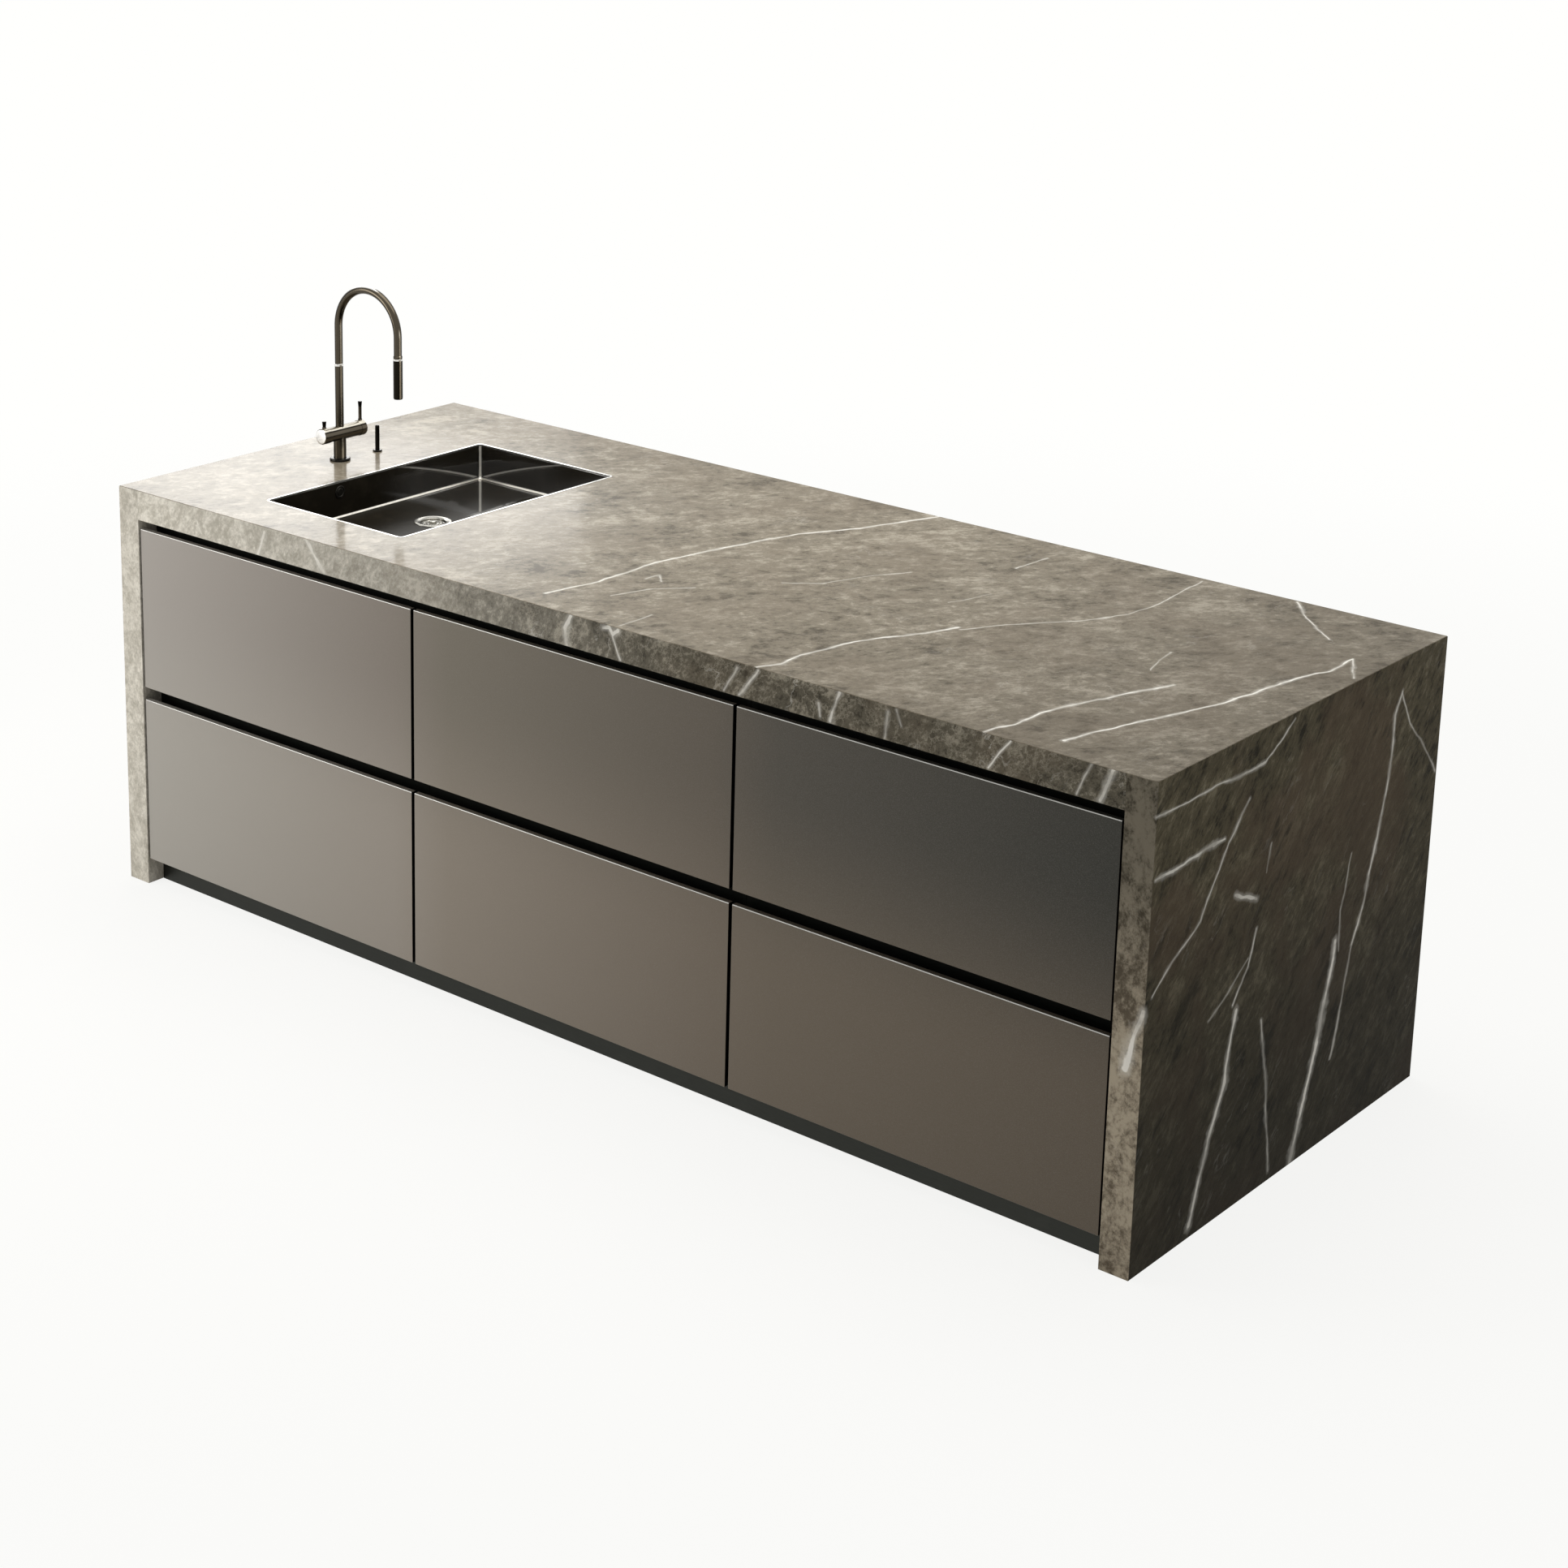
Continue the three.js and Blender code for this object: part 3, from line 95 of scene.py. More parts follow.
@dataclass(frozen=True)
class Value:
    """One output socket of a material's nodes; arithmetic on it adds Math nodes.

    A | B is the larger of the two, which joins masks, and A & B the smaller, which joins distances.
    """

    graph: "Graph"
    socket: bpy.types.NodeSocket

    __add__ = __radd__ = arithmetic("ADD")
    __sub__ = arithmetic("SUBTRACT")
    __rsub__ = arithmetic("SUBTRACT", flipped=True)
    __mul__ = __rmul__ = arithmetic("MULTIPLY")
    __truediv__ = arithmetic("DIVIDE")
    __or__ = arithmetic("MAXIMUM")
    __and__ = arithmetic("MINIMUM")
    __abs__ = arithmetic("ABSOLUTE")

    def ease(self, start: float, end: float) -> "Value":
        """Rises smoothly from 0 at start to 1 at end; start may be the larger."""
        low, high, first, last = (start, end, 0.0, 1.0) if start < end else (end, start, 1.0, 0.0)
        return self.graph.node(
            "ShaderNodeMapRange", {"interpolation_type": "SMOOTHSTEP"},
            {"Value": self, "From Min": low, "From Max": high, "To Min": first, "To Max": last},
        )

    def mix(self, without: Any, with_it: Any) -> "Value":
        """Mixes the colour where this is 0 with the one where it is 1."""
        inputs = {0: self, 6: without, 7: with_it}
        return self.graph.node("ShaderNodeMix", {"data_type": "RGBA"}, inputs, output=2)

    def other(self, output: str | int) -> "Value":
        """Another output of the same node."""
        return Value(self.graph, self.socket.node.outputs[output])


class Graph:
    """The nodes of a material or of the sky, and the one method that adds to them."""

    def __init__(self, owner: bpy.types.Material | bpy.types.World) -> None:
        """Empties the owner's nodes."""
        owner.use_nodes = True
        self.nodes = owner.node_tree.nodes
        self.links = owner.node_tree.links
        self.nodes.clear()

    def node(
        self,
        kind: str,
        settings: dict[str, Any] | None = None,
        inputs: dict[str | int, Any] | None = None,
        output: str | int = 0,
    ) -> Value:
        """Adds a node of any type.

        Args:
            kind: the node's type.
            settings: what is set before the sockets; "stops" holds a ramp's places and colours.
            inputs: numbers, colours or Values for the sockets, by name or number.
            output: the socket that is returned.

        Returns:
            The chosen output.
        """
        made = self.nodes.new(kind)
        for key, setting in (settings or {}).items():
            if key == "stops":
                self._set_stops(made.color_ramp, setting)
            else:
                setattr(made, key, setting)
        for key, value in (inputs or {}).items():
            socket = made.inputs[key]
            if isinstance(value, Value):
                self.links.new(value.socket, socket)
            elif socket.type == "RGBA":
                socket.default_value = (*value, 1.0)
            else:
                socket.default_value = value
        return Value(self, made.outputs[output] if made.outputs else None)

    @staticmethod
    def _set_stops(ramp: bpy.types.ColorRamp, stops: Stops) -> None:
        """Gives a colour ramp its stops, in rising order."""
        while len(ramp.elements) < len(stops):
            ramp.elements.new(1.0)
        for element, (place, colour) in zip(ramp.elements, stops):
            element.position = place
            element.color = (*colour, 1.0)

    def place(self) -> Value:
        """The point being shaded, in metres."""
        return self.node("ShaderNodeTexCoord", output="Object")

    def axes(self, vector: Value) -> tuple[Value, ...]:
        """The three parts of a vector."""
        split = self.node("ShaderNodeSeparateXYZ", inputs={0: vector})
        return tuple(split.other(index) for index in range(3))

    def vector(self, operation: str, first: Any, second: Any = None, output: int = 0) -> Value:
        """Adds one Vector Math node.

        Args:
            operation: Blender's name of the operation.
            first: the first vector.
            second: the second vector, or the number for SCALE.
            output: 0 for a vector, 1 for a number.

        Returns:
            The node's result.
        """
        inputs = {0: first}
        if second is not None:
            inputs["Scale" if operation == "SCALE" else 1] = second
        return self.node("ShaderNodeVectorMath", {"operation": operation}, inputs, output)

    def laid(self, vector: Value, turn: Point, stretch: Point) -> Value:
        """Turns a pattern, in degrees, and makes it so many times longer along its own axes."""
        rotation = tuple(math.radians(angle) for angle in turn)
        inputs = {"Vector": vector, "Rotation": rotation, "Scale": stretch}
        return self.node("ShaderNodeMapping", {"vector_type": "TEXTURE"}, inputs)

    def noise(self, vector: Value, scale: float, detail: float = 4.0, rough: float = 0.55) -> Value:
        """Soft noise between 0 and 1.

        Args:
            vector: its coordinates.
            scale: blotches to the metre.
            detail: octaves of finer noise.
            rough: how strong the finer octaves are.

        Returns:
            The noise, about 0.5 on average.
        """
        inputs = {"Vector": vector, "Scale": scale, "Detail": detail, "Roughness": rough}
        return self.node("ShaderNodeTexNoise", None, inputs)

    def crests(
        self, vector: Value, scale: float, detail: float, rough: float, width: float
    ) -> Value:
        """Thin wandering lines, where soft noise crosses its middle."""
        return abs(self.noise(vector, scale, detail, rough) - 0.5).ease(width, 0.0)

    def drift(self, vector: Value, scale: float, reach: float) -> Value:
        """Coordinates that wander by a reach in metres, so that lines in them aren't straight."""
        inputs = {"Vector": vector, "Scale": scale, "Detail": 3.0}
        cloud = self.node("ShaderNodeTexNoise", None, inputs, output=1)
        centred = self.vector("SUBTRACT", cloud, (0.5, 0.5, 0.5))
        return self.vector("ADD", vector, self.vector("MULTIPLY", centred, (2 * reach,) * 3))

    def bump(self, height: Value, depth: float, strength: float) -> Value:
        """The normal of a relief whose height of 1 is so many metres deep."""
        inputs = {"Strength": strength, "Distance": depth, "Height": height}
        return self.node("ShaderNodeBump", None, inputs)

    def finish(self, **sockets: Any) -> None:
        """Closes a material with a Principled shader, given its sockets with _ for a space."""
        inputs = {key.replace("_", " "): value for key, value in sockets.items()}
        self.close(self.node("ShaderNodeBsdfPrincipled", None, inputs))

    def close(self, shader: Value, output: str = "ShaderNodeOutputMaterial") -> None:
        """Joins a shader to the output."""
        self.node(output, None, {"Surface": shader})

    def seen(self) -> Value:
        """1 for a camera ray, a glossy ray or one that passes through glass."""
        path = self.node("ShaderNodeLightPath", output="Is Camera Ray")
        return path | path.other("Is Glossy Ray") | path.other("Is Transmission Ray")


@dataclass(frozen=True)
class Finish:
    """A named surface finish, made once however often it is asked for."""

    name: str

    def material(self) -> bpy.types.Material:
        """The finish as a Blender material."""
        known = bpy.data.materials.get(self.name)
        if known is None:
            known = bpy.data.materials.new(self.name)
            self.build(Graph(known))
        return known

    def build(self, graph: Graph) -> None:
        """Builds the nodes; each kind of finish has its own way."""
        raise NotImplementedError(self.name)


# ---------------------------------------------------------------- stone


class Face(Enum):
    """A face of the cladding that carries drawn veins: its fixed axis and where it lies."""

    TOP = (2, 0.905)
    FRONT = (1, -0.515)
    END = (0, 1.300)
    START = (0, -1.300)

    def at(self, u: float, v: float) -> Vector:
        """The point with these two coordinates on the face."""
        axis, level = self.value
        parts = [u, v]
        parts.insert(axis, level)
        return Vector(parts)

    def free(self) -> Point:
        """1 for the axes along the face, and 0 for the one across it."""
        return tuple(0.0 if axis == self.value[0] else 1.0 for axis in range(3))


@dataclass(frozen=True)
class Vein:
    """A white vein that runs over one face of the stone.

    Attributes:
        width: in metres, at its middle.
        strength: 1 is the whitest.
        points: where it runs, in metres along the face's two free axes.
    """

    width: float
    strength: float
    points: tuple[tuple[float, float], ...]

    def mask(self, graph: Graph, place: Value, face: Face, swell: Value, vary: Value) -> Value:
        """Where the vein shows.

        Args:
            graph: the stone's nodes.
            place: the wandering coordinates.
            face: the face it runs over.
            swell: how much wider or thinner the vein gets from place to place.
            vary: how white its core is from place to place.

        Returns:
            A mask from 0 to strength.
        """
        corners = [face.at(u, v) for u, v in self.points]
        nearest = None
        for start, end in zip(corners, corners[1:]):
            run = end - start
            offset = graph.vector("SUBTRACT", place, tuple(start))
            share = graph.vector("DOT_PRODUCT", offset, tuple(run / run.length_squared), 1)
            clamped = {"operation": "ADD", "use_clamp": True}
            share = graph.node("ShaderNodeMath", clamped, {0: share, 1: 0.0})
            gap = graph.vector("DISTANCE", offset, graph.vector("SCALE", tuple(run), share), 1)
            nearest = gap if nearest is None else nearest & gap
        gap = nearest * swell
        core = gap.ease(self.width * 0.95, self.width * 0.42) * vary
        halo = gap.ease(self.width * 2.4, self.width * 0.5) * 0.32
        return (core | halo) * self.strength


def veins(*rows: tuple[float, ...]) -> tuple[Vein, ...]:
    """Reads veins from rows: the width, the strength, then each point's u and v; in millimetres."""
    return tuple(
        Vein(width * MM, strength, tuple((u * MM, v * MM) for u, v in zip(run[::2], run[1::2])))
        for width, strength, *run in rows
    )


TOP_VEINS = veins(
    (3.4, 1, -112, -451, -86, -319, -90, -181, -72, -65, -49, 51, -3, 207, 63, 327, 131, 517),
    (2, 0.55, -10, -376, 18, -293, 74, -226),
    (2.5, 0.5, -33, -247, -32, -209, 5, -240),
    (2, 0.4, 127, -501, 126, -415),
    (3.4, 1, 461, -513, 480, -471, 476, -407, 509, -267, 550, -184, 594, -77),
    (1.8, 0.5, 181, -81, 243, -31, 269, 53, 323, 148),
    (3.4, 1, 956, -513, 973, -448, 974, -369, 1006, -243, 1065, -83),
    (3.4, 1, 1079, -458, 1101, -367, 1137, -241, 1183, -102, 1203, 63, 1235, 183, 1232, 268),
    (3, 0.7, 1232, 268, 1287, 171),
    (2, 0.6, 605, -86, 653, -1, 741, 114, 790, 215, 795, 317, 781, 499),
    (2, 0.6, 461, 316, 469, 415),
    (2.8, 0.8, 990, 507, 1054, 422, 1146, 341),
    (1.6, 0.4, 491, 38, 523, 139),
    (2, 0.5, 992, -43, 966, 69),
)
FRONT_VEINS = veins(
    (3, 0.55, -1047, 876, -1035, 853),
    (3, 0.6, -841, 895, -862, 836),
    (4.5, 0.75, -714, 900, -662, 843),
    (6, 0.8, 12, 905, 0, 877, 5, 840),
    (5, 0.8, 96, 897, 110, 900, 120, 889, 133, 899),
    (3, 0.6, 120, 885, 139, 846),
    (3, 0.5, 419, 897, 386, 843),
    (3.2, 0.85, 466, 903, 424, 844),
    (3, 0.7, 652, 904, 633, 845),
    (3, 0.5, 605, 871, 611, 848),
    (3, 0.5, 755, 894, 749, 843),
    (2.5, 0.4, 774, 902, 786, 873),
    (3, 0.8, 1012, 904, 969, 843),
    (4.5, 0.95, 1214, 905, 1193, 843),
    (2.5, 0.5, 1172, 906, 1145, 846),
)
LEG_VEINS = veins((6.5, 0.9, 1298, 497, 1266, 381))
START_VEINS = veins(
    (6, 1, 310, 905, 240, 710, 200, 520, 110, 300, 70, 0),
    (3.5, 0.7, -515, 620, -380, 550, -210, 410, -160, 220, -40, 0),
    (3, 0.6, -100, 905, -140, 780, -250, 660, -300, 490),
    (4.5, 0.8, 515, 470, 430, 330, 390, 120, 330, 0),
)
END_VEINS = veins(
    (4, 0.75, 344, 837, 322, 795, 316, 676, 291, 578, 254, 455, 216, 375),
    (3, 0.5, 216, 375, 196, 260, 167, 165),
    (2.5, 0.6, 344, 837, 388, 767, 510, 636),
    (2.4, 0.7, -515, 844, -418, 844, -157, 839, -103, 868, -61, 894),
    (3.5, 0.8, -507, 727, -400, 734, -287, 736),
    (3, 0.6, -203, 788, -272, 725, -326, 640, -348, 606, -435, 564, -492, 517),
    (3, 0.7, -150, 531, -170, 464, -221, 406),
    (6, 0.8, -205, 390, -228, 263, -269, 170, -320, 21),
    (2.5, 0.5, -172, 480, -297, 402),
    (4, 0.5, -108, 338, -77, 216, -42, 21),
    (8.5, 0.95, 153, 404, 128, 284, 93, 168, 38, 1),
    (3, 0.4, 193, 563, 166, 461, 168, 383),
    (2, 0.35, -119, 679, -126, 625),
    (4.5, 0.75, -234, 620, -155, 587),
    (3, 0.45, 195, 249, 170, 164),
)

VEIN_WHITE: Colour = (0.90, 0.87, 0.80)
# Colours of painted light and shade on the stone: paler tones towards the tap's end, a lit front
# edge on the right end panel, and deeper tones at the far end and the foot.
PAINTED_LIGHT_TONES: tuple[Colour, Colour] = ((0.53, 0.495, 0.420), (0.88, 0.84, 0.75))
PAINTED_EDGE_LIGHT_TONES: tuple[Colour, Colour] = ((0.045, 0.039, 0.027), (0.185, 0.163, 0.124))
PAINTED_FOOT_LIGHT_TONES: tuple[Colour, Colour] = ((0.130, 0.105, 0.075), (0.430, 0.370, 0.280))
END_SHADE: Colour = (0.020, 0.015, 0.009)
FOOT_SHADE: Colour = (0.007, 0.006, 0.003)


@dataclass(frozen=True)
class Stone(Finish):
    """Brown-grey marble with a soft leathered face, cloudy grain and white veins.

    Attributes:
        dark: colour of the deepest cloud.
        middle: colour of most of the stone.
        light: colour of the palest cloud.
        lay: turn of the grain about each axis, in degrees.
        stretch: how much longer the grain is along its own axes.
        size: how much finer the figure is.
        net: strength of the pale net of fine cracks.
        strokes: strength of the short dark strokes.
        russet: colour of the warmer patches.
        warmth: strength of those patches.
        faces: the faces with drawn veins.
        painted_light_end: painted light, extra paleness at the tap's end of the length.
        painted_light_front: painted light, extra paleness of the narrow edge towards the drawers.
        painted_shade_end: painted shade, extra depth of tone at the end away from the tap.
        painted_shade_foot: painted shade, extra depth of tone towards the floor.
        gloss: roughness of the face.
        sheen: level of its reflection.
        polish: how much clear sealer lies round the sink.
    """

    dark: Colour = (0.052, 0.041, 0.026)
    middle: Colour = (0.152, 0.129, 0.091)
    light: Colour = (0.350, 0.310, 0.240)
    lay: Point = (0, 0, 0)
    stretch: Point = (1, 1, 1)
    size: float = 1.0
    net: float = 0.35
    strokes: float = 0.3
    russet: Colour = (0.150, 0.118, 0.080)
    warmth: float = 0.35
    faces: tuple[tuple[Face, tuple[Vein, ...]], ...] = ()
    painted_light_end: float = 0.0
    painted_light_front: float = 0.0
    painted_shade_end: float = 0.0
    painted_shade_foot: float = 0.0
    gloss: float = 0.34
    sheen: float = 0.22
    polish: float = 0.0

    def build(self, graph: Graph) -> None:
        """Lays cloud, grain, specks, strokes, a net of cracks and the veins over each other."""
        place = graph.place()
        bent = graph.drift(place, 3.0, 0.05)
        grain = graph.laid(bent, self.lay, self.stretch)
        longer = tuple(part**1.7 for part in self.stretch)
        fibre = graph.laid(graph.drift(place, 14.0, 0.006), self.lay, longer)
        cloud = graph.noise(bent, 4.2 * self.size, 6.0, 0.62)
        blotch = graph.noise(grain, 12.0 * self.size, 6.0, 0.66)
        mottle = graph.noise(grain, 38.0 * self.size, 7.0, 0.72)
        thread = graph.noise(fibre, 130.0 * self.size, 5.0, 0.70)
        speck = graph.noise(place, 420.0, 2.0)

        tone = cloud * 0.16 + blotch * 0.26 + mottle * 0.36 + thread * 0.22
        tones = (self.dark, self.middle, self.middle, self.light)
        stops = tuple(zip((0.420, 0.486, 0.510, 0.575), tones))
        colour = graph.node("ShaderNodeValToRGB", {"stops": stops}, {0: tone})
        patch = graph.noise(bent, 3.3, 3.0).ease(0.46, 0.60)
        colour = (patch * self.warmth).mix(colour, self.russet)
        stroke = graph.noise(fibre, 26.0 * self.size, 4.0, 0.62).ease(0.55, 0.66)
        stroke = stroke * graph.noise(bent, 6.1, 2.0).ease(0.40, 0.58)
        colour = (stroke * self.strokes).mix(colour, self.dark)
        colour = (speck.ease(0.52, 0.72) * 0.35).mix(colour, self.dark)
        ridge = graph.crests(graph.drift(grain, 12.0, 0.02), 21.0 * self.size, 6.0, 0.66, 0.030)
        colour = (ridge * cloud.ease(0.38, 0.58) * self.net).mix(colour, self.light)

        wisp = graph.crests(graph.drift(fibre, 9.0, 0.03), 8.0 * self.size, 5.0, 0.6, 0.012)
        wisp = wisp * graph.noise(place, 7.7, 3.0).ease(0.50, 0.66) * self.net * 0.4
        white = self.drawn(graph, place, wisp)
        colour = white.mix(self.painted_light_and_shade(graph, place, tone, colour), VEIN_WHITE)

        along, across, _ = graph.axes(place)
        behind = 1 - across.ease(0.0, 0.42) * 0.85
        sealed = along.ease(0.05, -0.85) * (cloud * 0.2 + 0.9) * behind * self.polish
        relief = mottle * 0.5 + thread * 0.3 + speck * 0.2
        graph.finish(
            Base_Color=colour,
            Roughness=(1 - mottle) * 0.16 + (self.gloss - 0.06) + white * 0.08,
            Specular_IOR_Level=self.sheen,
            Coat_Weight=sealed,
            Coat_Roughness=0.10,
            Normal=graph.bump(relief, 0.0016, 0.5),
        )

    def drawn(self, graph: Graph, place: Value, wisp: Value) -> Value:
        """Adds the drawn veins of each face to the fine wisps.

        Args:
            graph: the stone's nodes.
            place: the point being shaded.
            wisp: the mask of the wisps.

        Returns:
            The mask of all that is white.
        """
        swell = graph.noise(place, 26.0, 3.0) * 2.4 - 0.15
        vary = graph.noise(place, 15.0, 3.0).ease(0.36, 0.56) * 0.45 + 0.55
        wander = graph.vector("SUBTRACT", graph.drift(place, 11.0, 0.010), place)
        for face, run in self.faces:
            kept = graph.vector("ADD", place, graph.vector("MULTIPLY", wander, face.free()))
            for vein in run:
                wisp = wisp | vein.mask(graph, kept, face, swell, vary)
        return wisp

    def painted_light_and_shade(self, graph: Graph, place: Value, tone: Value, colour: Value) -> Value:
        """Paints light and shade: paler at the tap's end and narrow front edge, deeper at the far
        end and foot.

        Args:
            graph: the stone's nodes.
            place: the point being shaded.
            tone: the figure as a number.
            colour: the figure's colour.

        Returns:
            The colour with this painted light and shade.
        """
        along, across, height = graph.axes(place)
        # painted light: paler towards the tap's end
        if self.painted_light_end:
            pale = tone.ease(0.42, 0.58).mix(*PAINTED_LIGHT_TONES)
            colour = (along.ease(0.40, -1.3) * self.painted_light_end).mix(colour, pale)
        # painted shade: deeper towards the end away from the tap
        if self.painted_shade_end:
            colour = (along.ease(0.0, 1.4) * self.painted_shade_end).mix(colour, END_SHADE)
        # painted shade: deeper towards the floor
        if self.painted_shade_foot:
            colour = (height.ease(0.85, 0.10) * self.painted_shade_foot).mix(colour, FOOT_SHADE)
        # painted light: the narrow front edge paler than the face beside it, more so low down
        if self.painted_light_front:
            edge = tone.ease(0.42, 0.56)
            edge = height.ease(0.80, 0.35).mix(edge.mix(*PAINTED_EDGE_LIGHT_TONES), edge.mix(*PAINTED_FOOT_LIGHT_TONES))
            colour = (across.ease(-0.5128, -0.5146) * self.painted_light_front).mix(colour, edge)
        return colour


# The top is cut in lighter colours than the other panels: partly the stone's own tone, partly
# painted light where it faces the lamps.
TOP_STONE = Stone(
    "stone_top", lay=(0, 0, -36), stretch=(1, 1.5, 1), net=0.30, strokes=0.35,
    dark=(0.098, 0.081, 0.055), middle=(0.242, 0.208, 0.153), light=(0.440, 0.392, 0.312),
    russet=(0.228, 0.186, 0.134), sheen=0.05,
    faces=((Face.TOP, TOP_VEINS),), polish=0.42, painted_shade_end=0.28,
)
APRON_STONE = Stone(
    "stone_apron", lay=(0, 35, 0), stretch=(1, 1, 1.3), size=1.5, net=0.7, sheen=0.10,
    dark=(0.030, 0.025, 0.016), middle=(0.106, 0.093, 0.067), light=(0.30, 0.27, 0.21),
    faces=((Face.FRONT, FRONT_VEINS),), painted_light_end=0.84,
)
REAR_STONE = Stone(
    "stone_rear", lay=(0, 35, 0), stretch=(1, 1, 1.3), size=1.5, net=0.7, sheen=0.12, painted_light_end=0.4
)
LEFT_STONE = Stone(
    "stone_left", lay=(20, 0, 0), stretch=(1, 1, 1.4), size=1.9, net=0.8, painted_light_end=0.7,
    faces=((Face.START, START_VEINS),),
)
# The right end panel takes far darker colours: the stone's own tone and painted shade on the end
# that the lamps don't reach.
RIGHT_STONE = Stone(
    "stone_right", lay=(-42, 0, 0), stretch=(1, 1, 2.0), size=1.2, net=0.16, strokes=0.75,
    dark=(0.018, 0.015, 0.008), middle=(0.086, 0.072, 0.043), light=(0.185, 0.160, 0.106),
    russet=(0.090, 0.064, 0.040), warmth=0.7, gloss=0.42, sheen=0.02,
    faces=((Face.FRONT, LEG_VEINS), (Face.END, END_VEINS)), painted_light_front=1.0, painted_shade_foot=0.72,
)


# ---------------------------------------------------------------- other finishes


@dataclass(frozen=True)
class Lacquer(Finish):
    """Satin metallic lacquer in taupe, with a fine flake, the faintest orange peel and painted
    shade.

    Attributes:
        upper: its colours along the upper row, from the tap's end, by share of the length.
        lower: its colours along the lower row.
    """

    upper: Stops = (
        (0.03, (0.331, 0.305, 0.279)), (0.32, (0.211, 0.184, 0.157)),
        (0.38, (0.169, 0.150, 0.120)), (0.64, (0.113, 0.096, 0.076)),
        (0.70, (0.079, 0.071, 0.058)), (0.97, (0.036, 0.035, 0.029)),
    )
    lower: Stops = (
        (0.03, (0.360, 0.339, 0.305)), (0.32, (0.299, 0.266, 0.229)),
        (0.38, (0.250, 0.216, 0.177)), (0.64, (0.165, 0.136, 0.105)),
        (0.70, (0.147, 0.121, 0.091)), (0.97, (0.109, 0.088, 0.065)),
    )

    def build(self, graph: Graph) -> None:
        """Paints shade that deepens slowly along the run of fronts away from the tap's end and on
        the upper row, and adds flake and peel.
        """
        place = graph.place()
        along, _, height = graph.axes(place)
        # painted shade: darker along the run away from the tap's end, and darker on the upper row
        # than the lower
        share = (along + 1.3) / 2.6
        lower, upper = (
            graph.node("ShaderNodeValToRGB", {"stops": stops}, {0: share})
            for stops in (self.lower, self.upper)
        )
        colour = height.ease(0.30, 0.72).mix(lower, upper)
        flake = graph.noise(place, 900.0, 2.0).ease(0.45, 0.75)
        graph.finish(
            Base_Color=(flake * 0.10).mix(colour, (0.42, 0.40, 0.37)),
            Metallic=0.3,
            Roughness=graph.noise(place, 1.6, 2.0) * 0.08 + 0.38,
            Specular_IOR_Level=0.2,
            Normal=graph.bump(graph.noise(place, 260.0, 2.0), 0.0002, 0.12),
        )


class Round(Enum):
    """A round part of the tap, for placing painted reflections: a point on its axis, and what is
    left of an offset across it.
    """

    BAR = ((-1.112, -0.040, 0.968), (1, 0, 1))
    TUBE = ((-1.0195, -0.040, 1.2125), (1, 1, 1))

    def facing(self, graph: Graph, place: Value) -> Value:
        """The way the surface faces, told from where it lies about its own axis.

        Args:
            graph: where the nodes go.
            place: the point being shaded.

        Returns:
            A unit vector.
        """
        middle, keep = self.value
        offset = graph.vector("MULTIPLY", graph.vector("SUBTRACT", place, middle), keep)
        if self is Round.TUBE:
            along, across, rise = graph.axes(offset)
            rise = rise | 0.0
            inward = graph.node("ShaderNodeCombineXYZ", inputs={0: along, 2: rise})
            centre = graph.vector("SCALE", graph.vector("NORMALIZE", inward), ARCH)
            offset = graph.node("ShaderNodeCombineXYZ", inputs={0: along, 1: across, 2: rise})
            offset = graph.vector("SUBTRACT", offset, centre)
        return graph.vector("NORMALIZE", offset)


@dataclass(frozen=True)
class PaintedReflection:
    """A lighter or darker band along a round part, on the side that faces one way: a painted
    highlight where lighter, a painted dark reflection where darker.

    Attributes:
        towards: the way it faces.
        outer: degrees from that way where it starts.
        inner: degrees from that way where it is full.
        colour: of the metal in it, painted in place of what the metal reflects.
    """

    towards: Point
    outer: float
    inner: float
    colour: Colour

    def mask(self, graph: Graph, facing: Value) -> Value:
        """Where it shows, from 0 to 1."""
        turn = graph.vector("DOT_PRODUCT", facing, Vector(self.towards).normalized(), output=1)
        return turn.ease(*(math.cos(math.radians(angle)) for angle in (self.outer, self.inner)))


